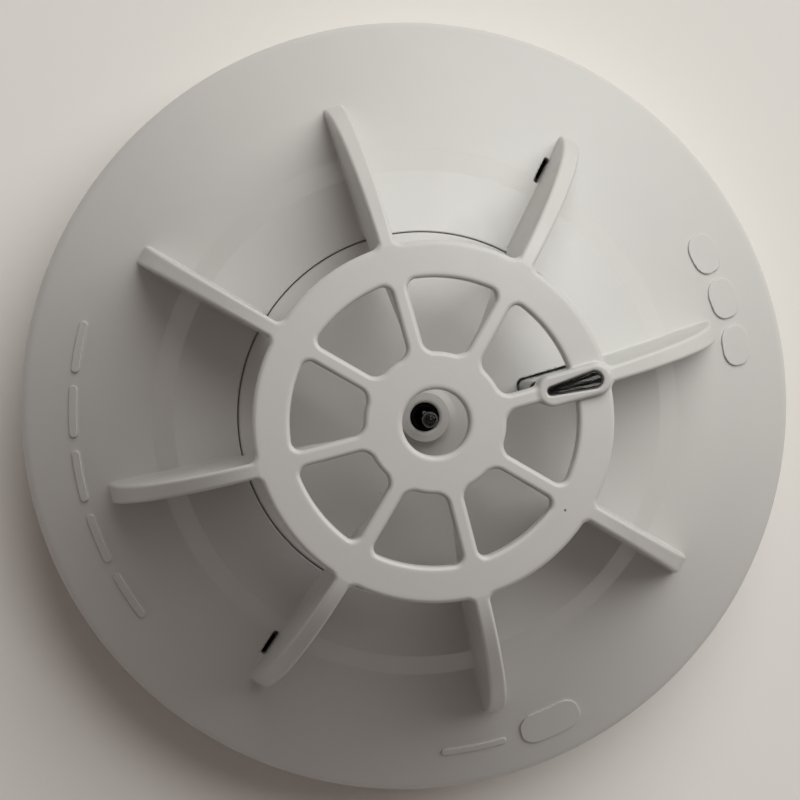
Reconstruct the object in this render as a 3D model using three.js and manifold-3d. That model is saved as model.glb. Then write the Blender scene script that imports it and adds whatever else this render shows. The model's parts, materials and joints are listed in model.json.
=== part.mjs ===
// Point-type heat detector: a plug-in head with a finned thermistor cage, on its ceiling base.
// Millimetres. The origin is the centre of the base's ceiling face, and +Z points out of the
// sensing face. The alarm light sits over the +X fin.
import * as THREE from "three";
import { mergeVertices } from "three/addons/utils/BufferGeometryUtils.js";
import Module from "manifold-3d";

const wasm = await Module();
wasm.setup();

// ---------------------------------------------------------------- driving dimensions
const TURN = Math.PI * 2;
const CLEAR = 0.3; // running gap between pieces that touch

const OUTER_RADIUS = 50;
const HEIGHT = 56;

// Front cover: a flared shell with a rounded outer edge.
const COVER_FOOT_Z = 12.4;
const COVER_FOOT_RADIUS = 49.5;
const COVER_WALL = 2;
const RIM_ROUND = 2.6;
const RIM_STEPS = 4;
const INSIDE_SHIFT = 0.8; // how far the wall's inside follows the band towards the axis
const SEAM_RADIUS = 22.3; // hole that the sensor cone fills
const SEAM_Z = 36.6;
const BAND_INNER_RADIUS = 30.1;
const BAND_INNER_Z = 32.1;
const BAND_OUTER_RADIUS = 32.8;
const BAND_OUTER_Z = 29.1;
const FLARE_SLOPE = 0.712; // drop per millimetre of radius outside the band

// Fins and cage.
const FIN_COUNT = 8;
const FIN_THICKNESS = 1.9;
const FIN_TIP_RADIUS = 39;
const FIN_CREST_RADIUS = 18; // where the top edge levels out under the ring
const FIN_CENTRE_Z = 21; // the top edge is a quarter of an ellipse about this height
const FIN_STEPS = 12;
const FIN_ROOT_DEPTH = 1.2; // how deep a fin's foot is sunk in the wall
const FIN_LIP = 0.05; // the fins' crests stay this far under the ring's top
const CAGE_RADIUS = 20.75;
const CAGE_THICKNESS = 2.6;
const CAGE_RING_Z = 54.2;
const WINDOW_INNER_RADIUS = 8.1;
const WINDOW_OUTER_RADIUS = 16.5;
const WINDOW_CORNER = 1.2;
const HUB_HOLE_RADIUS = 3.8;
const HUB_SHARE = (HUB_HOLE_RADIUS / CAGE_RADIUS) ** 2;
const SPOKE_ROOT_RADIUS = 12.5; // where each fin's inner edge leaves the underside of its spoke
const SPOKE_BED = 1; // how far under the cage's top a fin ends inside its spoke

// Alarm light.
const LIGHT_RADIUS = 16.5;
const BOSS_LENGTH = 8.8;
const BOSS_WIDTH = 3.7;
const BOSS_TOP_Z = 55.6;
const TONGUE_NARROW = 0.6;
const LENS_LENGTH = 6.6;
const LENS_WIDE = 2.1;
const LENS_NARROW = 1.1;
const PIPE_INNER_RADIUS = 12;
const PIPE_OUTER_RADIUS = 20;
const PIPE_THICKNESS = 2.4;
const PIPE_SHOULDER_Z = 50.2;
const PIPE_FOOT_Z = 18.2;
const PIPE_ROOM = 0.4; // gap on each side of the pipe where it passes through a fin

// Latches that hold the rear housing in the cover, beside two opposite fins.
const LATCH_ANGLES = [TURN / 8, (5 * TURN) / 8];
const LATCH_WIDTH = 6;
const ARM_INNER_RADIUS = 32;
const ARM_OUTER_RADIUS = 33.6;
const HOOK_REACH_RADIUS = 35.6;
const HOOK_UNDER_Z = 20.9;
const RELEASE_SLOT_INNER = 32.2;
const RELEASE_SLOT_OUTER = 35.8;
const RELEASE_SLOT_WIDTH = 0.9;
const RELEASE_SLOT_DEPTH = 5;
const KEEPER_INNER = 36;
const KEEPER_OUTER = 37.6;
const LEDGE_THICKNESS = 1.5;

// Sensor cone and thermistor.
const CONE_EDGE_RADIUS = SEAM_RADIUS - CLEAR;
const CONE_WALL = 1.8;
const CONE_CROWN_Z = 39.4;
const CONE_FALL = 2.8; // from the crown to the edge
const CONE_ROUNDNESS = 2.2;
const CONE_INSIDE_RADIUS = 20.2;
const CONE_SKIRT_RADIUS = 27.4;
const CONE_SKIRT_THICKNESS = 1.6;
const TUBE_RADIUS = 3;
const TUBE_BORE = 1.75;
const TUBE_TOP_Z = 41.1;
const TUBE_LENGTH = 12;
const TUBE_FLARE_RADIUS = 4; // where the dome turns up into the tube
const TUBE_FLARE_HEIGHT = 0.7;
const CONE_LEG_RADIUS = 1.5;
const CONE_LEG_CIRCLE = 24.5;
const CONE_LEG_COUNT = 4;
const CONE_LEG_ANGLE = (TURN * 10) / 360;
const BEAD_RADIUS = 0.92;
const BEAD_TOP_Z = 48.8;
const BEAD_LENGTH = 3.2;
const LEAD_RADIUS = 0.25;
const LEAD_SPACING = 1.1;

// Circuit board.
const BOARD_RADIUS = 31;
const BOARD_BOTTOM_Z = 14;
const BOARD_TOP_Z = 15.6;
const PART_SEAT_Z = BOARD_TOP_Z + CLEAR;
const CAPACITOR_RADIUS = 4;
const CAPACITOR_HEIGHT = 11.5;

// Packaged parts on the board: name, colour of the package, length, width and height, the place
// of the centre, and whether it lies along Y instead of X.
const PACKAGES = [
  { name: "alarm_led", look: "paleEpoxy", size: [3.5, 2.8, 1.9], at: [LIGHT_RADIUS, 0] },
  { name: "microcontroller", look: "blackEpoxy", size: [9.9, 3.9, 1.6], at: [-6, -11] },
  { name: "bridge_rectifier", look: "blackEpoxy", size: [6.5, 4.7, 2.5], at: [-19, -8], alongY: true },
  { name: "surge_suppressor", look: "blackEpoxy", size: [4.4, 2.6, 2.2], at: [-19, 3], alongY: true },
  { name: "voltage_regulator", look: "blackEpoxy", size: [4.5, 2.5, 1.5], at: [-8, -19] },
  { name: "ceramic_capacitor_1", look: "ceramic", size: [3.2, 1.6, 1.2], at: [7, 9] },
  { name: "ceramic_capacitor_2", look: "ceramic", size: [3.2, 1.6, 1.2], at: [7, -8] },
  { name: "resistor_1", look: "blackEpoxy", size: [3.2, 1.6, 0.6], at: [1, 16], alongY: true },
  { name: "resistor_2", look: "blackEpoxy", size: [3.2, 1.6, 0.6], at: [5, 15], alongY: true },
  { name: "resistor_3", look: "blackEpoxy", size: [3.2, 1.6, 0.6], at: [9, 14], alongY: true },
  { name: "resistor_4", look: "blackEpoxy", size: [3.2, 1.6, 0.6], at: [13, 13], alongY: true },
];
const PACKAGE_CHAMFER = 0.2;
const CRYSTAL_SIZE = [11, 4.6, 3.4];
const CRYSTAL_CHAMFER = 1.4;

// Rear housing.
const HOUSING_RADIUS = 43.4;
const HOUSING_BOTTOM_Z = 8.4;
const HOUSING_FLOOR_Z = 10.2;
const HOUSING_WALL = 1.6;
const HOUSING_TOP_Z = 18.6;
const LUG_REACH_RADIUS = 46.2;
const LUG_BOTTOM_Z = 8.8;
const LUG_TOP_Z = 10.2;
const LUG_HALF_ANGLE = TURN / 72;
const POST_RADIUS = 3.2;

// Contacts: four stations, 90 degrees apart. In a station's own frame +X is radial.
const STATION_COUNT = 4;
const STATION_ANGLE = (TURN * 55) / 360;
const SHEET = 0.8;
const CONTACT_SCREW_CIRCLE = 26.5;
const CONTACT_HOLE = 1.8;
const CONTACT_SCREW = { head: 2.8, headHeight: 1.1, shank: 1.5, length: 12.2 };
const NUT_RADIUS = 3;
const NUT_HEIGHT = 2.2;
const BLADE_PAD_Z = 7.3;
const BLADE_LEAF_Z = 5;
const BLADE_OUTER_RADIUS = 35.5;
const BLADE_INNER_RADIUS = 22.8;
const LEAF_INNER_RADIUS = 31;
const PAD_HALF_WIDTH = 3.5;
const LEAF_REACH = 12.5;
const CLIP_MOUTH = 5.5;
const TERMINAL_REACH = 25;
const TERMINAL_SCREW_X = 33;
const TERMINAL_SCREW_Y = -20;
const TERMINAL_HOLE = 1.9;
const TERMINAL_PLATE_HALF = 3.6;
const TERMINAL_SCREW = { head: 3, headHeight: 1.7, shank: 1.6, length: 5 };
const WASHER_HALF = 3.3;
const SCREW_CHAMFER = 0.4;
const DRIVER_SLOT_HALF = 0.35;

// Mounting base.
const BASE_RADIUS = 49.4;
const BASE_HEIGHT = 12;
const BASE_FLOOR_Z = 2.2;
const BASE_RIM_INNER = 46.8;
const CABLE_HOLE_RADIUS = 12;
const CABLE_RING_WALL = 1.6;
const PEDESTAL_Z = 3.6;
const PEDESTAL_HALF = 4.2;
const PEDESTAL_BORE_Z = 0.6; // the terminal screws' bores stop here
const HOOK_INNER_RADIUS = 44;
const HOOK_BOTTOM_Z = 10.6;
const LOCK_COUNT = 3;
const LOCK_ANGLE = (TURN * 75) / 360;
const UNLOCK_TURN = (TURN * 18) / 360;
const STOP_CLEAR = (TURN * 0.7) / 360;
const STOP_WIDTH = (TURN * 2.5) / 360;
const HOOK_OVERLAP = 0.8; // how far the hooks and stops run into the rim
const BASE_CHAMFER = 0.4;
const MOUNT_SLOT_INNER = 24;
const MOUNT_SLOT_OUTER = 36;
const MOUNT_SLOT_WIDTH = 4.6;

// ---------------------------------------------------------------- materials
function plastic(colour, roughness) {
  return new THREE.MeshStandardMaterial({ color: colour, roughness, metalness: 0 });
}

function metal(colour, roughness) {
  return new THREE.MeshStandardMaterial({ color: colour, roughness, metalness: 1 });
}

const whiteAbs = plastic(0xdedad4, 0.5);
const baseAbs = plastic(0xd9d5ce, 0.55);
const clearAcrylic = plastic(0xe8eeee, 0.08);
const glass = plastic(0x4a4440, 0.05);
const boardGreen = plastic(0x1f5a36, 0.45);
const blackEpoxy = plastic(0x1d1d1f, 0.5);
const ceramic = plastic(0xb79c78, 0.55);
const sleeveBlue = plastic(0x24324f, 0.4);
const paleEpoxy = plastic(0xe4e2da, 0.3);
const nickel = metal(0xc9c4b8, 0.3);
const zincSteel = metal(0xb9bcc0, 0.35);
const tinnedWire = metal(0xc4c4c2, 0.3);
const packageLooks = { paleEpoxy, blackEpoxy, ceramic };

// ---------------------------------------------------------------- solids and booleans
function solid(geometry) {
  const bare = geometry.clone();
  bare.deleteAttribute("normal");
  bare.deleteAttribute("uv");
  const merged = mergeVertices(bare, 1e-4);
  return new wasm.Manifold(
    new wasm.Mesh({
      numProp: 3,
      vertProperties: new Float32Array(merged.attributes.position.array),
      triVerts: new Uint32Array(merged.index.array),
    }),
  );
}

function geometryOf(manifold) {
  const mesh = manifold.getMesh();
  const geometry = new THREE.BufferGeometry();
  geometry.setAttribute("position", new THREE.BufferAttribute(mesh.vertProperties, 3));
  geometry.setIndex(new THREE.BufferAttribute(mesh.triVerts, 1));
  geometry.computeVertexNormals();
  return geometry;
}

function join(first, ...others) {
  return geometryOf(others.reduce((sum, next) => sum.add(solid(next)), solid(first)));
}

function cut(first, ...tools) {
  return geometryOf(tools.reduce((rest, tool) => rest.subtract(solid(tool)), solid(first)));
}

// ---------------------------------------------------------------- shapes
// A body of revolution about Z. The profile runs anticlockwise in the (radius, z) plane.
function turned(profile, segments = 96) {
  const points = profile.map(([radius, z]) => new THREE.Vector2(radius, z));
  points.push(points[0].clone());
  return new THREE.LatheGeometry(points, segments).rotateX(Math.PI / 2);
}

// A straight cylinder between two heights, with its axis at (x, y).
function cylinder(radius, bottom, top, x = 0, y = 0, segments = 24) {
  return new THREE.CylinderGeometry(radius, radius, top - bottom, segments)
    .rotateX(Math.PI / 2)
    .translate(x, y, (bottom + top) / 2);
}

function block(x0, x1, y0, y1, z0, z1) {
  return new THREE.BoxGeometry(x1 - x0, y1 - y0, z1 - z0).translate(
    (x0 + x1) / 2,
    (y0 + y1) / 2,
    (z0 + z1) / 2,
  );
}

// A flat outline in the XY plane, raised between two heights.
function prism(shape, bottom, top, curveSegments = 6) {
  return new THREE.ExtrudeGeometry(shape, {
    depth: top - bottom,
    bevelEnabled: false,
    curveSegments,
  }).translate(0, 0, bottom);
}

// A ring sector between two radii, two angles and two heights.
function sector(inner, outer, from, to, bottom, top, steps = 6) {
  const shape = new THREE.Shape();
  shape.absarc(0, 0, outer, from, to, false);
  shape.absarc(0, 0, inner, to, from, true);
  return prism(shape, bottom, top, steps);
}

function around(geometry, angle) {
  return geometry.clone().rotateZ(angle);
}

function copies(count, start, make) {
  return Array.from({ length: count }, (_, i) => around(make(i), start + (i * TURN) / count));
}

// ---------------------------------------------------------------- front cover
// Height of the cover's outer surface at a radius outside the band.
function flareZ(radius) {
  return BAND_OUTER_Z - (radius - BAND_OUTER_RADIUS) * FLARE_SLOPE;
}

// Height of the cage's slightly domed top, which is highest round the hub hole.
function cageZ(radius) {
  const t = radius / CAGE_RADIUS;
  return HEIGHT - (HEIGHT - CAGE_RING_Z) * (t * t - HUB_SHARE) / (1 - HUB_SHARE);
}

// The rounded outer edge, from the widest point up to where it runs tangent into the flare.
function rimArc() {
  const tilt = Math.atan(1 / FLARE_SLOPE);
  const centreRadius = OUTER_RADIUS - RIM_ROUND;
  const centreZ = flareZ(centreRadius + RIM_ROUND * Math.cos(tilt)) - RIM_ROUND * Math.sin(tilt);
  return Array.from({ length: RIM_STEPS + 1 }, (_, i) => {
    const angle = (tilt * i) / RIM_STEPS;
    return [centreRadius + RIM_ROUND * Math.cos(angle), centreZ + RIM_ROUND * Math.sin(angle)];
  });
}

function coverShell() {
  const drop = COVER_WALL * Math.hypot(1, FLARE_SLOPE);
  const inside = COVER_FOOT_RADIUS - COVER_WALL;
  const profile = [
    [inside, COVER_FOOT_Z],
    [COVER_FOOT_RADIUS, COVER_FOOT_Z],
    ...rimArc(),
    [BAND_OUTER_RADIUS, BAND_OUTER_Z],
    [BAND_INNER_RADIUS, BAND_INNER_Z],
    [SEAM_RADIUS, SEAM_Z],
    [SEAM_RADIUS, SEAM_Z - drop],
    [BAND_INNER_RADIUS - INSIDE_SHIFT, BAND_INNER_Z - drop],
    [BAND_OUTER_RADIUS - INSIDE_SHIFT, BAND_OUTER_Z - drop],
    [inside, flareZ(inside) - drop],
  ];
  return turned(profile, 80);
}

// One fin, standing in the XZ plane: its top edge is a quarter ellipse, and its inner edge is cut
// back from the seam to the underside of the spoke.
function fin(innerEdgeRadius) {
  const shape = new THREE.Shape();
  const crest = CAGE_RING_Z - FIN_LIP;
  const underside = CAGE_RING_Z - CAGE_THICKNESS;
  const seam = SEAM_RADIUS + CLEAR / 3;
  shape.moveTo(FIN_CREST_RADIUS, crest - SPOKE_BED / 2);
  shape.lineTo(innerEdgeRadius, cageZ(innerEdgeRadius) - SPOKE_BED);
  shape.lineTo(innerEdgeRadius, underside);
  shape.lineTo(SPOKE_ROOT_RADIUS, underside);
  shape.lineTo(seam, SEAM_Z + CLEAR);
  shape.lineTo(seam, SEAM_Z - FIN_ROOT_DEPTH);
  shape.lineTo(BAND_INNER_RADIUS, BAND_INNER_Z - FIN_ROOT_DEPTH);
  shape.lineTo(BAND_OUTER_RADIUS, BAND_OUTER_Z - FIN_ROOT_DEPTH);
  const rise = crest - FIN_CENTRE_Z;
  const run = FIN_TIP_RADIUS - FIN_CREST_RADIUS;
  const foot = Math.asin((flareZ(FIN_TIP_RADIUS) - FIN_ROOT_DEPTH - FIN_CENTRE_Z) / rise);
  for (let i = 0; i < FIN_STEPS; i += 1) {
    const angle = foot + (i / FIN_STEPS) * (TURN / 4 - foot);
    shape.lineTo(FIN_CREST_RADIUS + run * Math.cos(angle), FIN_CENTRE_Z + rise * Math.sin(angle));
  }
  return new THREE.ExtrudeGeometry(shape, { depth: FIN_THICKNESS, bevelEnabled: false })
    .translate(0, 0, -FIN_THICKNESS / 2)
    .rotateX(Math.PI / 2);
}

function cageDisc() {
  const middle = (WINDOW_INNER_RADIUS + WINDOW_OUTER_RADIUS) / 2;
  const radii = [HUB_HOLE_RADIUS, WINDOW_INNER_RADIUS, middle, WINDOW_OUTER_RADIUS, CAGE_RADIUS];
  const top = radii.map((radius) => [radius, cageZ(radius)]);
  const bottom = radii.map((radius) => [radius, cageZ(radius) - CAGE_THICKNESS]);
  return turned([...bottom, ...top.reverse()], 56);
}

// One cage window: the sector between two spokes, with its four corners rounded.
function cageWindow() {
  const half = TURN / FIN_COUNT / 2;
  const edge = FIN_THICKNESS / 2;
  const corner = WINDOW_CORNER;
  const shape = new THREE.Shape();
  const at = (radius, offset) => {
    const along = Math.sqrt(radius * radius - offset * offset);
    return new THREE.Vector2(along, offset).rotateAround(new THREE.Vector2(), half * -1);
  };
  const mirrored = (point) => new THREE.Vector2(point.x, -point.y);
  const outerSide = at(WINDOW_OUTER_RADIUS - corner, edge);
  const innerSide = at(WINDOW_INNER_RADIUS + corner, edge);
  const outerArc = half - Math.asin((edge + corner) / WINDOW_OUTER_RADIUS);
  const innerArc = half - Math.asin((edge + corner) / WINDOW_INNER_RADIUS);
  const outerCorner = at(WINDOW_OUTER_RADIUS, edge);
  const innerCorner = at(WINDOW_INNER_RADIUS, edge);
  shape.moveTo(innerSide.x, innerSide.y);
  shape.lineTo(outerSide.x, outerSide.y);
  shape.quadraticCurveTo(
    outerCorner.x,
    outerCorner.y,
    WINDOW_OUTER_RADIUS * Math.cos(outerArc),
    -WINDOW_OUTER_RADIUS * Math.sin(outerArc),
  );
  shape.absarc(0, 0, WINDOW_OUTER_RADIUS, -outerArc, outerArc, false);
  const outerMirror = mirrored(outerCorner);
  const outerEnd = mirrored(outerSide);
  shape.quadraticCurveTo(outerMirror.x, outerMirror.y, outerEnd.x, outerEnd.y);
  const innerEnd = mirrored(innerSide);
  shape.lineTo(innerEnd.x, innerEnd.y);
  const innerMirror = mirrored(innerCorner);
  shape.quadraticCurveTo(
    innerMirror.x,
    innerMirror.y,
    WINDOW_INNER_RADIUS * Math.cos(innerArc),
    WINDOW_INNER_RADIUS * Math.sin(innerArc),
  );
  shape.absarc(0, 0, WINDOW_INNER_RADIUS, innerArc, -innerArc, true);
  shape.quadraticCurveTo(innerCorner.x, innerCorner.y, innerSide.x, innerSide.y);
  return prism(shape, CAGE_RING_Z - 2 * CAGE_THICKNESS, HEIGHT + 1, 4);
}

// A long outline along X with round ends, one of which may be narrower than the other.
function roundEnded(centre, length, wide, narrow) {
  const shape = new THREE.Shape();
  const outerX = centre + length / 2 - wide / 2;
  const innerX = centre - length / 2 + narrow / 2;
  shape.absarc(outerX, 0, wide / 2, -TURN / 4, TURN / 4, false);
  shape.absarc(innerX, 0, narrow / 2, TURN / 4, -TURN / 4, false);
  return shape;
}

// A rib under the cover, with the ledge that a latch arm hooks on to.
function latchKeeper() {
  const half = LATCH_WIDTH / 2;
  const ledgeTop = HOOK_UNDER_Z - 0.4;
  const bottom = ledgeTop - LEDGE_THICKNESS;
  const top = flareZ((KEEPER_INNER + KEEPER_OUTER) / 2) - COVER_WALL / 2;
  return join(
    block(KEEPER_INNER, KEEPER_OUTER, -half, half, bottom, top),
    block(ARM_OUTER_RADIUS + 0.4, KEEPER_INNER + 0.5, -half, half, bottom, ledgeTop),
  );
}

function releaseSlots() {
  const inside = FIN_THICKNESS / 2;
  const outside = inside + RELEASE_SLOT_WIDTH;
  const z0 = flareZ(RELEASE_SLOT_OUTER) - RELEASE_SLOT_DEPTH;
  const z1 = flareZ(RELEASE_SLOT_INNER) + RELEASE_SLOT_DEPTH;
  return [
    block(RELEASE_SLOT_INNER, RELEASE_SLOT_OUTER, inside, outside, z0, z1),
    block(RELEASE_SLOT_INNER, RELEASE_SLOT_OUTER, -outside, -inside, z0, z1),
  ];
}

function frontCover() {
  const cage = cut(
    cageDisc(),
    ...copies(FIN_COUNT, TURN / FIN_COUNT / 2, cageWindow),
  );
  const plainFins = copies(FIN_COUNT, 0, () => fin(WINDOW_INNER_RADIUS - 0.5));
  const boss = prism(
    roundEnded(LIGHT_RADIUS, BOSS_LENGTH, BOSS_WIDTH, BOSS_WIDTH),
    CAGE_RING_Z - CAGE_THICKNESS,
    BOSS_TOP_Z,
  );
  const lens = prism(
    roundEnded(LIGHT_RADIUS, LENS_LENGTH, LENS_WIDE, LENS_NARROW),
    PIPE_SHOULDER_Z,
    HEIGHT,
  );
  const pipeRoom = block(
    PIPE_INNER_RADIUS - PIPE_ROOM,
    PIPE_OUTER_RADIUS + CLEAR,
    -PIPE_THICKNESS / 2 - PIPE_ROOM,
    PIPE_THICKNESS / 2 + PIPE_ROOM,
    BAND_INNER_Z,
    CAGE_RING_Z - CAGE_THICKNESS - CLEAR / 3,
  );
  const keepers = LATCH_ANGLES.map((angle) => around(latchKeeper(), angle));
  const slots = LATCH_ANGLES.flatMap((angle) => releaseSlots().map((s) => around(s, angle)));
  return cut(
    join(coverShell(), ...plainFins, cage, boss, ...keepers),
    lens,
    pipeRoom,
    ...slots,
  );
}

// ---------------------------------------------------------------- sensor cone and thermistor
function sensorCone() {
  const drop = COVER_WALL * Math.hypot(1, FLARE_SLOPE) + CLEAR * 1.5;
  const skirtSlope = (SEAM_Z - BAND_INNER_Z) / (BAND_INNER_RADIUS - SEAM_RADIUS);
  const skirtTop = (radius) => SEAM_Z - drop - (radius - SEAM_RADIUS) * skirtSlope;
  const dome = (radius) => CONE_CROWN_Z - CONE_FALL * (radius / CONE_EDGE_RADIUS) ** CONE_ROUNDNESS;
  const outside = [1, 0.84, 0.66, 0.45, 0.27].map((share) => {
    const radius = CONE_EDGE_RADIUS * share;
    return [radius, dome(radius)];
  });
  const inside = [0.22, 0.4, 0.6, 0.8, 1].map((share) => {
    const radius = CONE_INSIDE_RADIUS * share;
    return [radius, dome(radius) - CONE_WALL];
  });
  const tubeFoot = TUBE_TOP_Z - TUBE_LENGTH;
  const profile = [
    [TUBE_BORE, tubeFoot],
    [TUBE_RADIUS, tubeFoot],
    [TUBE_RADIUS, dome(TUBE_RADIUS) - CONE_WALL - 1],
    ...inside,
    [CONE_INSIDE_RADIUS, skirtTop(CONE_EDGE_RADIUS) - CONE_WALL],
    [CONE_SKIRT_RADIUS, skirtTop(CONE_SKIRT_RADIUS) - CONE_SKIRT_THICKNESS],
    [CONE_SKIRT_RADIUS, skirtTop(CONE_SKIRT_RADIUS)],
    [CONE_EDGE_RADIUS, skirtTop(CONE_EDGE_RADIUS)],
    ...outside,
    [TUBE_FLARE_RADIUS, dome(TUBE_FLARE_RADIUS)],
    [TUBE_RADIUS, dome(TUBE_RADIUS) + TUBE_FLARE_HEIGHT],
    [TUBE_RADIUS, TUBE_TOP_Z],
    [TUBE_BORE, TUBE_TOP_Z],
  ];
  const legTop = skirtTop(CONE_LEG_CIRCLE) - CONE_SKIRT_THICKNESS / 2;
  const legs = copies(CONE_LEG_COUNT, CONE_LEG_ANGLE, () =>
    cylinder(CONE_LEG_RADIUS, PART_SEAT_Z, legTop, CONE_LEG_CIRCLE, 0, 10),
  );
  const pipeSlot = block(
    PIPE_INNER_RADIUS - CLEAR,
    PIPE_OUTER_RADIUS + CLEAR,
    -PIPE_THICKNESS / 2 - CLEAR,
    PIPE_THICKNESS / 2 + CLEAR,
    tubeFoot,
    TUBE_TOP_Z,
  );
  return cut(join(turned(profile, 48), ...legs), pipeSlot);
}

function thermistorBead() {
  const capsule = new THREE.CapsuleGeometry(BEAD_RADIUS, BEAD_LENGTH - 2 * BEAD_RADIUS, 4, 12);
  return capsule.rotateX(Math.PI / 2);
}

function lightPipe() {
  const half = PIPE_THICKNESS / 2;
  const wide = LENS_WIDE - 2 * CLEAR;
  const tongue = roundEnded(LIGHT_RADIUS, LENS_LENGTH - 2 * CLEAR, wide, TONGUE_NARROW);
  return join(
    block(PIPE_INNER_RADIUS, PIPE_OUTER_RADIUS, -half, half, PIPE_FOOT_Z, PIPE_SHOULDER_Z),
    prism(tongue, PIPE_SHOULDER_Z - 1, BOSS_TOP_Z - CLEAR / 3, 8),
  );
}

// ---------------------------------------------------------------- circuit board
function circuitBoard() {
  const holes = copies(STATION_COUNT, STATION_ANGLE, () =>
    cylinder(CONTACT_HOLE, BOARD_BOTTOM_Z - 1, BOARD_TOP_Z + 1, CONTACT_SCREW_CIRCLE, 0, 12),
  );
  return cut(cylinder(BOARD_RADIUS, BOARD_BOTTOM_Z, BOARD_TOP_Z, 0, 0, 48), ...holes);
}

// A packaged component that stands on the board, centred on the node's own origin.
function component([length, width, height], chamfer = PACKAGE_CHAMFER) {
  const shape = new THREE.Shape();
  const x = length / 2;
  const y = width / 2;
  shape.moveTo(-x + chamfer, -y);
  shape.lineTo(x - chamfer, -y);
  shape.lineTo(x, -y + chamfer);
  shape.lineTo(x, y - chamfer);
  shape.lineTo(x - chamfer, y);
  shape.lineTo(-x + chamfer, y);
  shape.lineTo(-x, y - chamfer);
  shape.lineTo(-x, -y + chamfer);
  return prism(shape, 0, height);
}

// ---------------------------------------------------------------- rear housing
function latchArm() {
  const half = LATCH_WIDTH / 2 - 0.5;
  const tip = HOOK_UNDER_Z + 2;
  const shape = new THREE.Shape();
  shape.moveTo(ARM_INNER_RADIUS, HOUSING_FLOOR_Z - 1);
  shape.lineTo(ARM_OUTER_RADIUS, HOUSING_FLOOR_Z - 1);
  shape.lineTo(ARM_OUTER_RADIUS, HOOK_UNDER_Z);
  shape.lineTo(HOOK_REACH_RADIUS, HOOK_UNDER_Z);
  shape.lineTo(HOOK_REACH_RADIUS, HOOK_UNDER_Z + 0.5);
  shape.lineTo(ARM_OUTER_RADIUS, tip);
  shape.lineTo(ARM_INNER_RADIUS, tip);
  return new THREE.ExtrudeGeometry(shape, { depth: 2 * half, bevelEnabled: false })
    .translate(0, 0, -half)
    .rotateX(Math.PI / 2);
}

function rearHousing() {
  const inner = HOUSING_RADIUS - HOUSING_WALL;
  const dish = turned(
    [
      [0, HOUSING_BOTTOM_Z],
      [HOUSING_RADIUS, HOUSING_BOTTOM_Z],
      [HOUSING_RADIUS, HOUSING_TOP_Z],
      [inner, HOUSING_TOP_Z],
      [inner, HOUSING_FLOOR_Z],
      [0, HOUSING_FLOOR_Z],
    ],
    64,
  );
  const arms = LATCH_ANGLES.map((angle) => around(latchArm(), angle));
  const posts = copies(STATION_COUNT, STATION_ANGLE, () =>
    cylinder(POST_RADIUS, HOUSING_FLOOR_Z - 1, BOARD_BOTTOM_Z - CLEAR, CONTACT_SCREW_CIRCLE, 0, 20),
  );
  const bores = copies(STATION_COUNT, STATION_ANGLE, () =>
    cylinder(CONTACT_HOLE, HOUSING_BOTTOM_Z - 1, BOARD_BOTTOM_Z, CONTACT_SCREW_CIRCLE, 0, 12),
  );
  const lugs = copies(LOCK_COUNT, LOCK_ANGLE, () =>
    sector(
      HOUSING_RADIUS - 0.8,
      LUG_REACH_RADIUS,
      -LUG_HALF_ANGLE,
      LUG_HALF_ANGLE,
      LUG_BOTTOM_Z,
      LUG_TOP_Z,
      4,
    ),
  );
  return cut(join(dish, ...arms, ...posts, ...lugs), ...bores);
}

// ---------------------------------------------------------------- contacts, in a station's frame
function contactBlade() {
  const pad = block(
    BLADE_INNER_RADIUS,
    BLADE_OUTER_RADIUS,
    -PAD_HALF_WIDTH,
    PAD_HALF_WIDTH,
    BLADE_PAD_Z,
    BLADE_PAD_Z + SHEET,
  );
  const drop = block(
    LEAF_INNER_RADIUS,
    BLADE_OUTER_RADIUS,
    -PAD_HALF_WIDTH,
    -PAD_HALF_WIDTH + SHEET,
    BLADE_LEAF_Z,
    BLADE_PAD_Z + SHEET,
  );
  const leaf = block(
    LEAF_INNER_RADIUS,
    BLADE_OUTER_RADIUS,
    -LEAF_REACH,
    -PAD_HALF_WIDTH + SHEET,
    BLADE_LEAF_Z,
    BLADE_LEAF_Z + SHEET,
  );
  const hole = cylinder(CONTACT_HOLE, BLADE_PAD_Z - 1, BLADE_PAD_Z + 2, CONTACT_SCREW_CIRCLE, 0, 12);
  return cut(join(pad, drop, leaf), hole);
}

// A pan-head screw standing upright on its head, with a plain driver slot across the head.
function slottedScrew({ head, headHeight, shank, length }) {
  const chamfer = SCREW_CHAMFER;
  const tip = headHeight + length;
  const profile = [
    [0, 0],
    [head - chamfer, 0],
    [head, chamfer],
    [head, headHeight],
    [shank, headHeight],
    [shank, tip - chamfer],
    [shank - chamfer, tip],
    [0, tip],
  ];
  const half = DRIVER_SLOT_HALF;
  return cut(turned(profile, 12), block(-head, head, -half, half, -1, headHeight / 2));
}

function contactNut() {
  return cut(
    new THREE.CylinderGeometry(NUT_RADIUS, NUT_RADIUS, NUT_HEIGHT, 6).rotateX(Math.PI / 2),
    cylinder(CONTACT_HOLE, -NUT_HEIGHT, NUT_HEIGHT, 0, 0, 12),
  );
}

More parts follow.
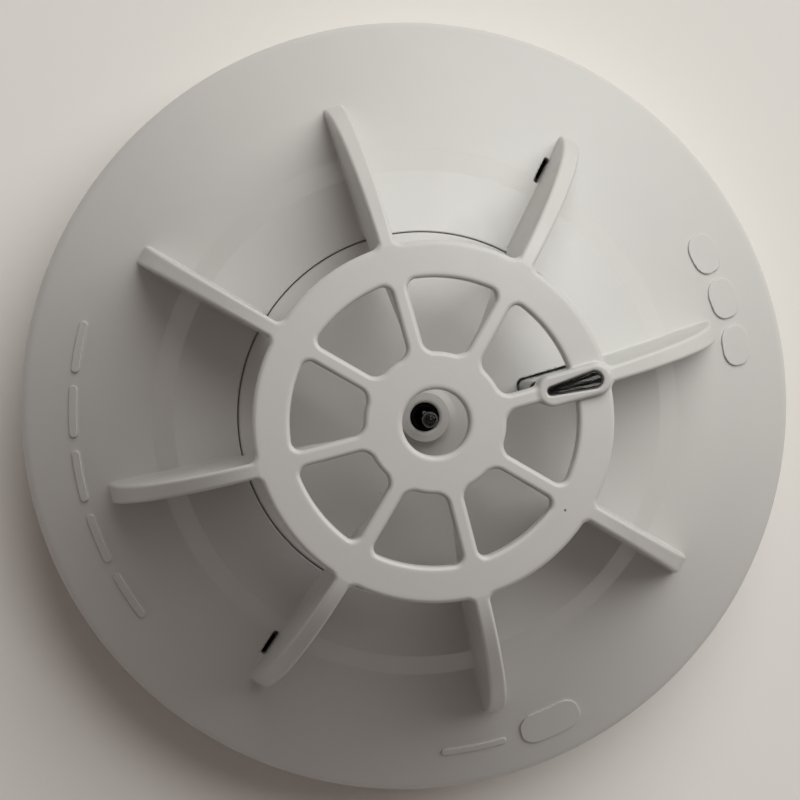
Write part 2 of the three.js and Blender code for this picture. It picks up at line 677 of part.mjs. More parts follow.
// A strip folded into a clip whose mouth faces the blade, with a flat end under the wire clamp.
function terminalClip() {
  const plateZ = PEDESTAL_Z + CLEAR;
  const upperZ = BLADE_LEAF_Z + SHEET + CLEAR;
  const x0 = LEAF_INNER_RADIUS - 0.5;
  const x1 = BLADE_OUTER_RADIUS + 0.5;
  const back = -LEAF_REACH - 0.5;
  const plate0 = TERMINAL_SCREW_X - TERMINAL_PLATE_HALF;
  const plate1 = TERMINAL_SCREW_X + TERMINAL_PLATE_HALF;
  const lower = block(plate0, plate1, -TERMINAL_REACH, back, plateZ, plateZ + SHEET);
  const under = block(x0, x1, back - 1, -CLIP_MOUTH, plateZ, plateZ + SHEET);
  const rise = block(x0, x1, back - SHEET, back, plateZ, upperZ + SHEET);
  const upper = block(x0, x1, back - SHEET, -CLIP_MOUTH, upperZ, upperZ + SHEET);
  const hole = cylinder(TERMINAL_HOLE, 0, upperZ, TERMINAL_SCREW_X, TERMINAL_SCREW_Y, 12);
  return cut(join(lower, under, rise, upper), hole);
}

function clampWasher() {
  const half = WASHER_HALF;
  const hole = cylinder(TERMINAL_HOLE, -1, SHEET + 1, 0, 0, 12);
  return cut(block(-half, half, -half, half, 0, SHEET), hole);
}

// ---------------------------------------------------------------- mounting base
function lockHook() {
  const reach = BASE_RIM_INNER + HOOK_OVERLAP;
  const before = -LUG_HALF_ANGLE - STOP_CLEAR;
  const after = LUG_HALF_ANGLE + UNLOCK_TURN + STOP_CLEAR;
  const roof = sector(
    HOOK_INNER_RADIUS,
    reach,
    before - STOP_WIDTH,
    LUG_HALF_ANGLE + STOP_CLEAR,
    HOOK_BOTTOM_Z,
    BASE_HEIGHT,
  );
  const lockedStop = sector(
    HOOK_INNER_RADIUS,
    reach,
    before - STOP_WIDTH,
    before,
    BASE_FLOOR_Z - 1,
    BASE_HEIGHT,
    3,
  );
  const openStop = sector(
    HOOK_INNER_RADIUS,
    reach,
    after,
    after + STOP_WIDTH,
    BASE_FLOOR_Z - 1,
    BASE_HEIGHT,
    3,
  );
  return join(roof, lockedStop, openStop);
}

function mountSlot() {
  const middle = (MOUNT_SLOT_INNER + MOUNT_SLOT_OUTER) / 2;
  const length = MOUNT_SLOT_OUTER - MOUNT_SLOT_INNER;
  const outline = roundEnded(middle, length, MOUNT_SLOT_WIDTH, MOUNT_SLOT_WIDTH);
  return prism(outline, -1, BASE_FLOOR_Z + 1);
}

function mountingBase() {
  const ring = CABLE_HOLE_RADIUS + CABLE_RING_WALL;
  const shell = turned(
    [
      [CABLE_HOLE_RADIUS, 0],
      [BASE_RADIUS - BASE_CHAMFER, 0],
      [BASE_RADIUS, BASE_CHAMFER],
      [BASE_RADIUS, BASE_HEIGHT - BASE_CHAMFER],
      [BASE_RADIUS - BASE_CHAMFER, BASE_HEIGHT],
      [BASE_RIM_INNER, BASE_HEIGHT],
      [BASE_RIM_INNER, BASE_FLOOR_Z],
      [ring, BASE_FLOOR_Z],
      [ring, PEDESTAL_Z],
      [CABLE_HOLE_RADIUS, PEDESTAL_Z],
    ],
    72,
  );
  const hooks = copies(LOCK_COUNT, LOCK_ANGLE, lockHook);
  const pedestals = copies(STATION_COUNT, STATION_ANGLE, () =>
    block(
      TERMINAL_SCREW_X - PEDESTAL_HALF,
      TERMINAL_SCREW_X + PEDESTAL_HALF,
      -TERMINAL_REACH,
      -CLIP_MOUTH,
      BASE_FLOOR_Z - 1,
      PEDESTAL_Z,
    ),
  );
  const screwBores = copies(STATION_COUNT, STATION_ANGLE, () =>
    cylinder(
      TERMINAL_HOLE,
      PEDESTAL_BORE_Z,
      PEDESTAL_Z + 1,
      TERMINAL_SCREW_X,
      TERMINAL_SCREW_Y,
      12,
    ),
  );
  const slots = [TURN / 4, (3 * TURN) / 4].map((angle) => around(mountSlot(), angle));
  return cut(join(shell, ...hooks, ...pedestals), ...screwBores, ...slots);
}

// ---------------------------------------------------------------- assembly
function place(group, name, geometry, material, x = 0, y = 0, z = 0, turn = 0) {
  const mesh = new THREE.Mesh(geometry, material);
  mesh.name = name;
  mesh.position.set(x, y, z);
  mesh.rotation.z = turn;
  group.add(mesh);
  return mesh;
}

function station(parent, index) {
  const group = new THREE.Group();
  group.rotation.z = STATION_ANGLE + (index * TURN) / STATION_COUNT;
  parent.add(group);
  return group;
}

function fillBoard(head) {
  const seat = PART_SEAT_Z;
  place(head, "circuit_board", circuitBoard(), boardGreen);
  PACKAGES.forEach(({ name, look, size, at, alongY }) => {
    const turn = alongY ? TURN / 4 : 0;
    place(head, name, component(size), packageLooks[look], at[0], at[1], seat, turn);
  });
  const crystal = component(CRYSTAL_SIZE, CRYSTAL_CHAMFER);
  place(head, "crystal_oscillator", crystal, zincSteel, 6, -18, seat);
  const can = cylinder(CAPACITOR_RADIUS, 0, CAPACITOR_HEIGHT, 0, 0, 20);
  place(head, "storage_capacitor", can, sleeveBlue, -10, 11, seat);
}

function fitThermistor(head) {
  place(head, "thermistor_bead", thermistorBead(), glass, 0, 0, BEAD_TOP_Z - BEAD_LENGTH / 2);
  const leadTop = BEAD_TOP_Z - BEAD_LENGTH - CLEAR;
  const lead = cylinder(LEAD_RADIUS, PART_SEAT_Z, leadTop, 0, 0, 8);
  place(head, "thermistor_lead_1", lead, tinnedWire, 0, LEAD_SPACING / 2);
  place(head, "thermistor_lead_2", lead, tinnedWire, 0, -LEAD_SPACING / 2);
}

function fitContacts(head, index) {
  const group = station(head, index);
  const number = index + 1;
  const circle = CONTACT_SCREW_CIRCLE;
  const screw = slottedScrew(CONTACT_SCREW);
  const screwZ = BLADE_PAD_Z - CLEAR - CONTACT_SCREW.headHeight;
  const nutZ = PART_SEAT_Z + NUT_HEIGHT / 2;
  place(group, `contact_blade_${number}`, contactBlade(), nickel);
  place(group, `contact_screw_${number}`, screw, zincSteel, circle, 0, screwZ);
  place(group, `contact_nut_${number}`, contactNut(), zincSteel, circle, 0, nutZ);
}

function makeHead() {
  const head = new THREE.Group();
  place(head, "front_cover", frontCover(), whiteAbs);
  place(head, "sensor_cone", sensorCone(), whiteAbs);
  place(head, "light_pipe", lightPipe(), clearAcrylic);
  place(head, "rear_housing", rearHousing(), whiteAbs);
  fitThermistor(head);
  fillBoard(head);
  for (let i = 0; i < STATION_COUNT; i += 1) {
    fitContacts(head, i);
  }
  return head;
}

function fitTerminal(base, index) {
  const group = station(base, index);
  const number = index + 1;
  const x = TERMINAL_SCREW_X;
  const y = TERMINAL_SCREW_Y;
  const washerZ = PEDESTAL_Z + SHEET + 2 * CLEAR;
  const headZ = washerZ + SHEET + CLEAR;
  const screw = slottedScrew(TERMINAL_SCREW);
  screw.rotateX(Math.PI).translate(0, 0, TERMINAL_SCREW.headHeight);
  place(group, `terminal_clip_${number}`, terminalClip(), nickel);
  place(group, `clamp_washer_${number}`, clampWasher(), zincSteel, x, y, washerZ);
  place(group, `terminal_screw_${number}`, screw, zincSteel, x, y, headZ);
}

function makeBase() {
  const base = new THREE.Group();
  place(base, "mounting_base", mountingBase(), baseAbs);
  for (let i = 0; i < STATION_COUNT; i += 1) {
    fitTerminal(base, i);
  }
  return base;
}

const heatDetector = new THREE.Group();
heatDetector.add(makeHead(), makeBase());

export default heatDetector;
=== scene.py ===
import json
import math

import bmesh
import bpy
import numpy as np
from mathutils import Matrix, Vector


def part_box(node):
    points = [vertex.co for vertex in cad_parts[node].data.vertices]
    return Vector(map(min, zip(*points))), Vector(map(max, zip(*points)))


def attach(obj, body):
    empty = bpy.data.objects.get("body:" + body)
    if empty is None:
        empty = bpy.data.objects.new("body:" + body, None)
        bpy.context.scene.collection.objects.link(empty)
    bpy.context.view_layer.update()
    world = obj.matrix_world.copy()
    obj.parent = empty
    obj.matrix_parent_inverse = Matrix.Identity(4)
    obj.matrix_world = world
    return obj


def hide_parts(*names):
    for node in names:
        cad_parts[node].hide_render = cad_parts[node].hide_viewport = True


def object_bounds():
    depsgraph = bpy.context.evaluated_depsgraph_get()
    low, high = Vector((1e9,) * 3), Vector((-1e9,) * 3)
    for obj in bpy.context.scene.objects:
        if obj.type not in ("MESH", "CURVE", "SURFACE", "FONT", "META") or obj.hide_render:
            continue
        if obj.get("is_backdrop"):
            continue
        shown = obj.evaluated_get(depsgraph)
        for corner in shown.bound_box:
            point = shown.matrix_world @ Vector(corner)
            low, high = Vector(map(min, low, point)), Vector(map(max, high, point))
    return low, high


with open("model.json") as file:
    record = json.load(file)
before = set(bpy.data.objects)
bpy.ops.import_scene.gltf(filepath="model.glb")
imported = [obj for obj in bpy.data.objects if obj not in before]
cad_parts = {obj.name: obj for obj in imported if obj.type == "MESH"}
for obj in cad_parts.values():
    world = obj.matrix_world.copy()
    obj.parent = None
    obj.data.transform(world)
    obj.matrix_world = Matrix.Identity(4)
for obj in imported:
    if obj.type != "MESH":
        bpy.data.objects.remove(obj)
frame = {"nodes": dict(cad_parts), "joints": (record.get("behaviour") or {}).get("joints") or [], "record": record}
cad_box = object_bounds()

# Shapes are worked out in millimetres and handed to Blender in metres.
MM = 0.001
TURN = 2 * math.pi


def size_of(node):
    """(lowest corner, highest corner) of a CAD node in millimetres."""
    low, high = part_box(node)
    return low / MM, high / MM


# ---------------------------------------------------------------- driving dimensions, in mm
cover_low, cover_high = size_of("front_cover")
base_high = size_of("mounting_base")[1]
cone_low, cone_high = size_of("sensor_cone")
pipe_low, pipe_high = size_of("light_pipe")
bead_low, bead_high = size_of("thermistor_bead")
housing_low, housing_high = size_of("rear_housing")

# The front cover's shell: rim, flare, the narrow band, and the inner slope up to the seam.
# Pairs are (radius, height).
OUTER_RADIUS = cover_high.x
HEIGHT = cover_high.z
COVER_FOOT_Z = cover_low.z
COVER_FOOT_RADIUS = OUTER_RADIUS - 0.5
COVER_WALL = 2.0
RIM_ROUND = 2.6
SEAM_RADIUS = 22.3
SEAM_Z = 36.6
BAND_INNER = (30.1, 32.1)
BAND_OUTER = (32.8, 29.1)
FLARE_SLOPE = 0.712
BAND_BLEND = 0.05
# The rim is an arc from the wall to the flare. Its middle lies its radius below the flare.
RIM_Z = BAND_OUTER[1] - (OUTER_RADIUS - RIM_ROUND - BAND_OUTER[0]) * FLARE_SLOPE
RIM_Z -= RIM_ROUND * math.hypot(1, FLARE_SLOPE)

# Fins, thicker downwards by their draft.
FIN_COUNT = 8
FIN_HALF = 0.92
FIN_DRAFT = 0.012
FIN_TIP_RADIUS = 39.7
FIN_CREST_RADIUS = 18.0
FIN_CENTRE_Z = 21.0
FIN_ROUNDNESS = 1.8
SPOKE_ROOT = (12.5, 51.6)
FIN_SEAM_END = (22.4, 36.9)

# The caged disc. Its windows lie between two radii.
CAGE_RADIUS = 20.75
CAGE_RING_Z = 54.2
CAGE_THICKNESS = 2.6
# The top edge of each fin runs on from the edge of the ring.
FIN_SHARE = (CAGE_RADIUS - FIN_CREST_RADIUS) / (FIN_TIP_RADIUS - FIN_CREST_RADIUS)
FIN_RISE = (CAGE_RING_Z - FIN_CENTRE_Z) / (1 - FIN_SHARE**FIN_ROUNDNESS) ** (1 / FIN_ROUNDNESS)
WINDOW_INNER = 8.1
WINDOW_OUTER = 16.5
WINDOW_CORNER = 1.2
HUB_HOLE = 3.8
LIP = 0.55
FIN_ROOT_REACH = 1.2
FIN_ROOT_FILLET = 0.9
FIN_EDGE = 0.42
FIN_INNER_EDGE = 0.35
FOOT_FILLET = 0.2
FOOT_EDGE = 0.4
SEAM_EDGE = 0.12

# The alarm light's boss, lens and light pipe.
LIGHT_RADIUS = 16.5
BOSS_HALF_LENGTH = 4.4
BOSS_HALF_WIDTH = 1.85
BOSS_TOP_Z = 55.6
BOSS_EDGE = 0.5
BOSS_FILLET = 0.25
LENS_HALF_LENGTH = 3.3
LENS_WIDE = 1.05
LENS_NARROW = 0.55
LENS_GAP = 0.14
LENS_EDGE = 0.25
PIPE_HALF = 1.2
PIPE_GAP = 0.1
PIPE_SHOULDER_Z = 50.2
PIPE_ROOM = (0.4, 0.3, 0.1)
PIPE_ROOM_CORNER = 0.2
PIPE_CORNER = 0.85
PIPE_FILLET = 0.3
LENS_CROWN = 0.12
LENS_TOP_EDGE = 0.18
FAN_START = 1
FLUTE_DEPTH = 0.14
FLUTE_STEP = math.radians(7)

# The release slots beside two opposite fins.
SLOT_INNER = 32.2
SLOT_OUTER = 35.8
SLOT_WIDTH = 0.62
SLOT_CORNER = 0.22
SLOT_REACH = 0.6
SLOT_EDGE = 0.1
SLOT_SIDE = FIN_HALF + (CAGE_RING_Z - BAND_OUTER[1]) * FIN_DRAFT

# The sensor cone, with its skirt, legs and tube.
CONE_EDGE_RADIUS = SEAM_RADIUS - 0.09
CONE_CROWN_Z = 39.4
CONE_FALL = 2.8
CONE_ROUNDNESS = 2.2
CONE_WALL = 1.8
SKIRT = 1.4
LEG_PLACE = 24.5
LEG_RADIUS = 1.5
LEG_START = math.radians(10)
TUBE_RADIUS = 3.0
TUBE_BORE = 1.75
TUBE_TOP_Z = cone_high.z
TUBE_LENGTH = 12
TUBE_FILLET = 1.0
BORE_EDGE = 0.45
CONE_SEAM_EDGE = 0.15
CONE_HOLLOW_EDGE = 0.5
CONE_SMALL_EDGE = 0.3
COVER_GAP = 0.5
LEG_FILLET = 0.6
PIPE_HOLE_CORNER = 0.8
PIPE_HOLE_EDGE = 0.1

# The black sleeve that lines the thermistor's tube, a guessed part whose near-black also paints the deep shade of
# the bore, and the core inside the glass bead.
SLEEVE_BORE = 1.15
SLEEVE_RADIUS = TUBE_BORE - 0.03
SLEEVE_FOOT_Z = TUBE_TOP_Z - 11.5
SLEEVE_TOP_Z = TUBE_TOP_Z - 0.55
SLEEVE_EDGE = 0.2
BEAD_GLASS = 0.12

# The plain raised pads on the flare.
PAD_HEIGHT = 0.3
PAD_ROOT = 0.6
PAD_EDGE = 0.13
PAD_CORNER_SHARE = 0.42

# The mounting base, its twist-lock hooks and its terminals.
BASE_FLOOR_Z = 2.2
RIM_INNER = 46.8
CABLE_HOLE = 12.0
CABLE_RING = 1.6
PEDESTAL_Z = 3.6
PEDESTAL_LOW = (28.8, -25)
PEDESTAL_HIGH = (37.2, -5.5)
PEDESTAL_EDGE = 0.3
BORE_FLOOR_Z = 0.6
HOOK_INNER = 44.0
HOOK_BOTTOM_Z = 10.6
LOCK_ANGLE = math.radians(75)
LUG_HALF = math.radians(5)
STOP_GAP = math.radians(0.7)
STOP_WIDTH = math.radians(2.5)
UNLOCK_TURN = math.radians(frame["joints"][0]["range_deg"][1])
STATION_ANGLE = math.radians(55)
TERMINAL = (33.0, -20.0)
TERMINAL_HOLE = 1.9
# Each ceiling screw's slot, and the sunk seat round it.
SCREW_PLACE = 30
SCREW_SLOT = (6, 2.3)
SCREW_SEAT = (7.8, 4.1)
SEAT_DEPTH = 0.4
SEAT_EDGE = 0.2
SCREW_SLOT_EDGE = 0.25
BASE_EDGE = 0.5
DISH_EDGE = 0.6
BASE_LIP = 0.3
RING_EDGE = 0.4
HOOK_EDGE = 0.25
HOOK_INSET = 0.2

# The rear housing, its lugs, screw posts and latch arms.
HOUSING_RADIUS = 43.4
HOUSING_FLOOR_Z = 10.2
HOUSING_TOP_Z = 18.6
LUG_BOTTOM_Z = 8.8
LUG_REACH = 2.8
HOUSING_WALL = 1.6
POST_PLACE = 26.5
POST_RADIUS = 3.2
POST_BORE = 1.8
POST_TOP_Z = 13.7
ARM_INNER = 32
ARM_OUTER = 33.6
ARM_HALF = 2.5
BARB_INNER = 32.4
BARB_OUTER = 35.6
BARB_FOOT_Z = 20.9
BARB_RISE = 0.5
BARB_SLOPE = 1.3
HOUSING_EDGE = 0.6
HOLLOW_EDGE = 0.5
LATCH_EDGE = 0.2
POST_EDGE = 0.3
POST_FILLET = 0.5
ARM_EDGE = 0.25
ARM_FILLET = 0.4


# ---------------------------------------------------------------- distance fields, in mm
# Each takes and gives arrays. A negative distance is inside.
def round_join(a, b, radius):
    """Both solids, with a fillet where they meet."""
    corner = np.hypot(np.maximum(radius - a, 0), np.maximum(radius - b, 0))
    return np.maximum(radius, np.minimum(a, b)) - corner


def round_common(a, b, radius):
    """What both solids share, with a rounded edge."""
    corner = np.hypot(np.maximum(radius + a, 0), np.maximum(radius + b, 0))
    return np.minimum(-radius, np.maximum(a, b)) + corner


def round_cut(a, b, radius):
    """Solid a without b, with a rounded edge."""
    return round_common(a, -b, radius)


def soft_join(a, b, reach):
    """Both solids, blended where they meet at a shallow angle."""
    return np.minimum(a, b) - np.maximum(reach - np.abs(a - b), 0) ** 2 / (4 * reach)


def slab(value, low, high):
    return np.maximum(low - value, value - high)


def box(x, y, z, low, high, radius=0.0):
    """A box between two corners, with rounded edges."""
    middle = [(a + b) / 2 for a, b in zip(low, high)]
    half = [(b - a) / 2 - radius for a, b in zip(low, high)]
    q = [np.abs(v - m) - h for v, m, h in zip((x, y, z), middle, half)]
    outside = np.sqrt(sum(np.maximum(v, 0) ** 2 for v in q))
    return outside + np.minimum(np.maximum(np.maximum(q[0], q[1]), q[2]), 0) - radius


def stadium(x, y, half_length, radius_low, radius_high):
    """Plan of a bar along X from -half_length to half_length, with round ends of two radii."""
    start = -half_length + radius_low
    end = half_length - radius_high
    lean = (radius_high - radius_low) / (end - start)
    along = np.clip((x - start - np.abs(y) * -lean) / (end - start), 0, 1)
    radius = radius_low + (radius_high - radius_low) * along
    return np.hypot(x - start - along * (end - start), y) - radius


def folded(x, y, count, start=0.0):
    """Radial and sideways place in the nearest of count equal sectors."""
    step = TURN / count
    angle = np.arctan2(y, x) - start
    angle = angle - np.round(angle / step) * step
    radius = np.hypot(x, y)
    return radius * np.cos(angle), radius * np.sin(angle)


# ---------------------------------------------------------------- front cover
def under_line(radius, z, point, slope):
    """Distance above a straight stretch of the cover's outer surface."""
    return (z - point[1] + (radius - point[0]) * slope) / math.hypot(1, slope)


def cover_skin(radius, z):
    """Distance outside the cover's whole outer surface, without its hole."""
    band_slope = (BAND_INNER[1] - BAND_OUTER[1]) / (BAND_OUTER[0] - BAND_INNER[0])
    inner_slope = (SEAM_Z - BAND_INNER[1]) / (BAND_INNER[0] - SEAM_RADIUS)
    flare = under_line(radius, z, BAND_OUTER, FLARE_SLOPE)
    band = under_line(radius, z, BAND_OUTER, band_slope)
    inner = under_line(radius, z, BAND_INNER, inner_slope)
    top = -soft_join(-soft_join(flare, band, BAND_BLEND), -inner, BAND_BLEND)
    lean = (OUTER_RADIUS - COVER_FOOT_RADIUS) / (RIM_Z - COVER_FOOT_Z)
    wall = (radius - OUTER_RADIUS + np.maximum(RIM_Z - z, 0) * lean) / math.hypot(1, lean)
    out, up = radius - OUTER_RADIUS + RIM_ROUND, z - RIM_Z
    turning = (out > up * FLARE_SLOPE) & (up > 0)
    return np.where(turning, np.hypot(out, up) - RIM_ROUND, np.maximum(top, wall))


def cage_top(radius):
    share = (HUB_HOLE / CAGE_RADIUS) ** 2
    t = radius / CAGE_RADIUS
    return HEIGHT - (HEIGHT - CAGE_RING_Z) * (t * t - share) / (1 - share)


def fin_profile(u, z):
    """Distance outside the superellipse of a fin's top edge, in the plane of the fin."""
    run = FIN_TIP_RADIUS - FIN_CREST_RADIUS
    a = np.maximum(u - FIN_CREST_RADIUS, 1e-6) / run
    b = np.maximum(z - FIN_CENTRE_Z, 1e-6) / FIN_RISE
    n = FIN_ROUNDNESS
    size = (a**n + b**n) ** (1 / n)
    slope = np.hypot((a / size) ** (n - 1) / run, (b / size) ** (n - 1) / FIN_RISE)
    return (size - 1) / slope


def fin_top(u):
    share = np.clip((u - FIN_CREST_RADIUS) / (FIN_TIP_RADIUS - FIN_CREST_RADIUS), 0, 1)
    return FIN_CENTRE_Z + FIN_RISE * (1 - share**FIN_ROUNDNESS) ** (1 / FIN_ROUNDNESS)


def front_cover(x, y, z):
    radius = np.hypot(x, y)
    u, v = folded(x, y, FIN_COUNT)
    side = np.abs(v)
    skin = cover_skin(radius, z)
    # The shell, open underneath and at the seam.
    shell = np.maximum(skin, -skin - COVER_WALL)
    shell = round_common(shell, COVER_FOOT_Z - z, FOOT_EDGE)
    shell = round_common(shell, SEAM_RADIUS - radius, SEAM_EDGE)
    # The cage: ring, spokes and hub, with the root of each fin.
    spoke = side - FIN_HALF
    window = round_common(
        round_common(radius - WINDOW_OUTER, -spoke, WINDOW_CORNER),
        WINDOW_INNER - radius,
        WINDOW_CORNER,
    )
    root = np.maximum(spoke, radius - CAGE_RADIUS - FIN_ROOT_REACH)
    plan = round_join(radius - CAGE_RADIUS, root, FIN_ROOT_FILLET)
    plan = np.maximum(np.maximum(plan, -window), HUB_HOLE - radius)
    top = np.minimum(cage_top(radius), np.where(radius > CAGE_RADIUS, fin_top(radius), HEIGHT))
    plate = round_common(plan, slab(z, top - CAGE_THICKNESS, top), LIP)
    # The fins.
    half = FIN_HALF + (CAGE_RING_Z - z) * FIN_DRAFT
    fin = round_common(fin_profile(u, z), side - half, FIN_EDGE)
    run = FIN_SEAM_END[0] - SPOKE_ROOT[0]
    drop = SPOKE_ROOT[1] - FIN_SEAM_END[1]
    inner_edge = ((SPOKE_ROOT[0] - u) * drop + (SPOKE_ROOT[1] - z) * run) / math.hypot(run, drop)
    fin = round_common(fin, inner_edge, FIN_INNER_EDGE)
    fin = np.maximum(fin, -skin - COVER_WALL / 2)
    fin = np.maximum(fin, z - cage_top(radius))
    plate = np.minimum(plate, fin)
    # The alarm light's boss, and the room for its light pipe.
    boss_plan = stadium(x - LIGHT_RADIUS, y, BOSS_HALF_LENGTH, BOSS_HALF_WIDTH, BOSS_HALF_WIDTH)
    boss = round_common(boss_plan, slab(z, CAGE_RING_Z - CAGE_THICKNESS, BOSS_TOP_Z), BOSS_EDGE)
    plate = round_join(plate, boss, BOSS_FILLET)
    cover = round_join(plate, shell, FOOT_FILLET)
    recess = stadium(x - LIGHT_RADIUS, y, LENS_HALF_LENGTH, LENS_NARROW, LENS_WIDE)
    recess = np.maximum(recess, PIPE_SHOULDER_Z - z)
    cover = round_cut(cover, recess, LENS_EDGE)
    beside, beyond, above = PIPE_ROOM
    room = box(
        x, y, z,
        (pipe_low.x - beside, pipe_low.y - beside, BAND_INNER[1]),
        (pipe_high.x + beyond, pipe_high.y + beside, CAGE_RING_Z - CAGE_THICKNESS - above),
        PIPE_ROOM_CORNER,
    )
    cover = np.maximum(cover, -room)
    # The release slots, on both sides of two opposite fins.
    along, across = folded(x, y, 2, TURN / 8)
    gap = box(
        along, np.abs(across), z,
        (SLOT_INNER, SLOT_SIDE, RIM_Z),
        (SLOT_OUTER, SLOT_SIDE + SLOT_WIDTH, CAGE_RING_Z),
        SLOT_CORNER,
    )
    gap = np.maximum(gap, skin - SLOT_REACH)
    return round_cut(cover, gap, SLOT_EDGE)


# ---------------------------------------------------------------- sensor cone
def cone_dome(radius):
    return CONE_CROWN_Z - CONE_FALL * (radius / CONE_EDGE_RADIUS) ** CONE_ROUNDNESS


def sensor_cone(x, y, z):
    radius = np.hypot(x, y)
    rise = z - cone_dome(radius)
    lean = CONE_FALL * CONE_ROUNDNESS / CONE_EDGE_RADIUS
    lean = lean * (radius / CONE_EDGE_RADIUS) ** (CONE_ROUNDNESS - 1)
    skin = rise / np.sqrt(1 + lean * lean)
    dome = round_common(skin, radius - CONE_EDGE_RADIUS, CONE_SEAM_EDGE)
    inside = radius - CONE_EDGE_RADIUS + CONE_WALL
    hollow = round_common(skin + CONE_WALL, inside, CONE_HOLLOW_EDGE)
    dome = np.maximum(dome, -hollow)
    inner_slope = (SEAM_Z - BAND_INNER[1]) / (BAND_INNER[0] - SEAM_RADIUS)
    drop = COVER_WALL * math.hypot(1, inner_slope) + COVER_GAP
    under = under_line(radius, z, (SEAM_RADIUS, SEAM_Z - drop), inner_slope)
    skirt = round_common(slab(under, -SKIRT, 0), radius - cone_high.x, CONE_SMALL_EDGE)
    skirt = np.maximum(skirt, -inside)
    dome = np.maximum(dome, SEAM_Z - drop - SKIRT - z)
    shell = np.minimum(dome, skirt)
    tube = np.maximum(radius - TUBE_RADIUS, slab(z, TUBE_TOP_Z - TUBE_LENGTH, TUBE_TOP_Z))
    shell = round_join(shell, tube, TUBE_FILLET)
    shell = round_cut(shell, radius - TUBE_BORE, BORE_EDGE)
    along, across = folded(x, y, 4, LEG_START)
    leg = np.hypot(along - LEG_PLACE, across) - LEG_RADIUS
    leg = round_common(leg, slab(z, cone_low.z, SEAM_Z - drop - 2), CONE_SMALL_EDGE)
    shell = round_join(shell, leg, LEG_FILLET)
    gap = box(
        x, y, z,
        (pipe_low.x - PIPE_GAP, -PIPE_HALF - PIPE_GAP, cone_low.z + 4),
        (pipe_high.x + PIPE_GAP, PIPE_HALF + PIPE_GAP, HEIGHT),
        PIPE_HOLE_CORNER,
    )
    return round_cut(shell, gap, PIPE_HOLE_EDGE)


# ---------------------------------------------------------------- light pipe
def light_pipe(x, y, z):
    low = (pipe_low.x, pipe_low.y, pipe_low.z)
    high = (pipe_high.x, pipe_high.y, PIPE_SHOULDER_Z)
    bar = box(x, y, z, low, high, PIPE_CORNER)
    narrow, wide = LENS_NARROW - LENS_GAP, LENS_WIDE - LENS_GAP
    tongue = stadium(x - LIGHT_RADIUS, y, LENS_HALF_LENGTH - LENS_GAP, narrow, wide)
    crown = pipe_high.z - LENS_CROWN * ((x - LIGHT_RADIUS) / LENS_HALF_LENGTH) ** 2
    # Flutes fan out from the narrow end.
    fan = np.arctan2(y, x - LIGHT_RADIUS + LENS_HALF_LENGTH + FAN_START)
    crown = crown - FLUTE_DEPTH / 2 * (1 - np.cos(fan * TURN / FLUTE_STEP))
    tongue = round_common(tongue, slab(z, PIPE_SHOULDER_Z - 2, crown), LENS_TOP_EDGE)
    return round_join(bar, tongue, PIPE_FILLET)


# ---------------------------------------------------------------- mounting base
def sector(radius, angle, low, high, start, end):
    """Plan of a ring sector between two radii and two angles."""
    middle, half = (start + end) / 2, (end - start) / 2
    away = np.abs((angle - middle + math.pi) % TURN - math.pi) - half
    return np.maximum(slab(radius, low, high), away * radius)


def lock_angle(x, y):
    """Angle from the middle of the nearest twist-lock lug."""
    step = TURN / 3
    angle = np.arctan2(y, x) - LOCK_ANGLE
    return angle - np.round(angle / step) * step


def nearest_station(x, y):
    """Places seen from the contact station whose pedestal is nearest, with the station on +X."""
    lean = math.atan2(TERMINAL[1] * 0.75, TERMINAL[0])
    step = TURN / 4
    angle = np.arctan2(y, x) - STATION_ANGLE - lean
    angle = angle - np.round(angle / step) * step + lean
    radius = np.hypot(x, y)
    return radius * np.cos(angle), radius * np.sin(angle)


def mounting_base(x, y, z):
    radius = np.hypot(x, y)
    wall = round_common(radius - base_high.x, slab(z, 0, base_high.z), BASE_EDGE)
    dish = round_common(radius - RIM_INNER, BASE_FLOOR_Z - z, DISH_EDGE)
    body = round_cut(wall, dish, BASE_LIP)
    ring = slab(radius, 0, CABLE_HOLE + CABLE_RING)
    ring = round_common(ring, slab(z, BASE_EDGE, PEDESTAL_Z), RING_EDGE)
    body = round_join(body, ring, RING_EDGE)
    # Twist-lock hooks, each with a stop at both ends of the lug's travel.
    angle = lock_angle(x, y)
    reach = LUG_HALF + STOP_GAP
    hook_top = base_high.z - HOOK_INSET
    roof = sector(radius, angle, HOOK_INNER, RIM_INNER + 1, -reach - STOP_WIDTH, reach)
    roof = round_common(roof, slab(z, HOOK_BOTTOM_Z, hook_top), HOOK_EDGE)
    body = round_join(body, roof, HOOK_EDGE)
    for start in (-reach - STOP_WIDTH, reach + UNLOCK_TURN):
        stop = sector(radius, angle, HOOK_INNER, RIM_INNER + 1, start, start + STOP_WIDTH)
        stop = round_common(stop, slab(z, BASE_FLOOR_Z - 1, hook_top), HOOK_EDGE)
        body = round_join(body, stop, HOOK_EDGE)
    # Terminal pedestals with their screw bores.
    u, v = nearest_station(x, y)
    low, high = (*PEDESTAL_LOW, BASE_EDGE), (*PEDESTAL_HIGH, PEDESTAL_Z)
    body = round_join(body, box(u, v, z, low, high, PEDESTAL_EDGE), PEDESTAL_EDGE)
    bore = np.hypot(u - TERMINAL[0], v - TERMINAL[1]) - TERMINAL_HOLE
    body = np.maximum(body, -np.maximum(bore, BORE_FLOOR_Z - z))
    # Cable hole and ceiling screw slots.
    body = round_cut(body, radius - CABLE_HOLE, RING_EDGE)
    along = np.abs(y) - SCREW_PLACE
    slot = stadium(along, x, *SCREW_SLOT, SCREW_SLOT[1])
    seat = np.maximum(stadium(along, x, *SCREW_SEAT, SCREW_SEAT[1]), BASE_FLOOR_Z - SEAT_DEPTH - z)
    body = round_cut(body, seat, SEAT_EDGE)
    return round_cut(body, slot, SCREW_SLOT_EDGE)


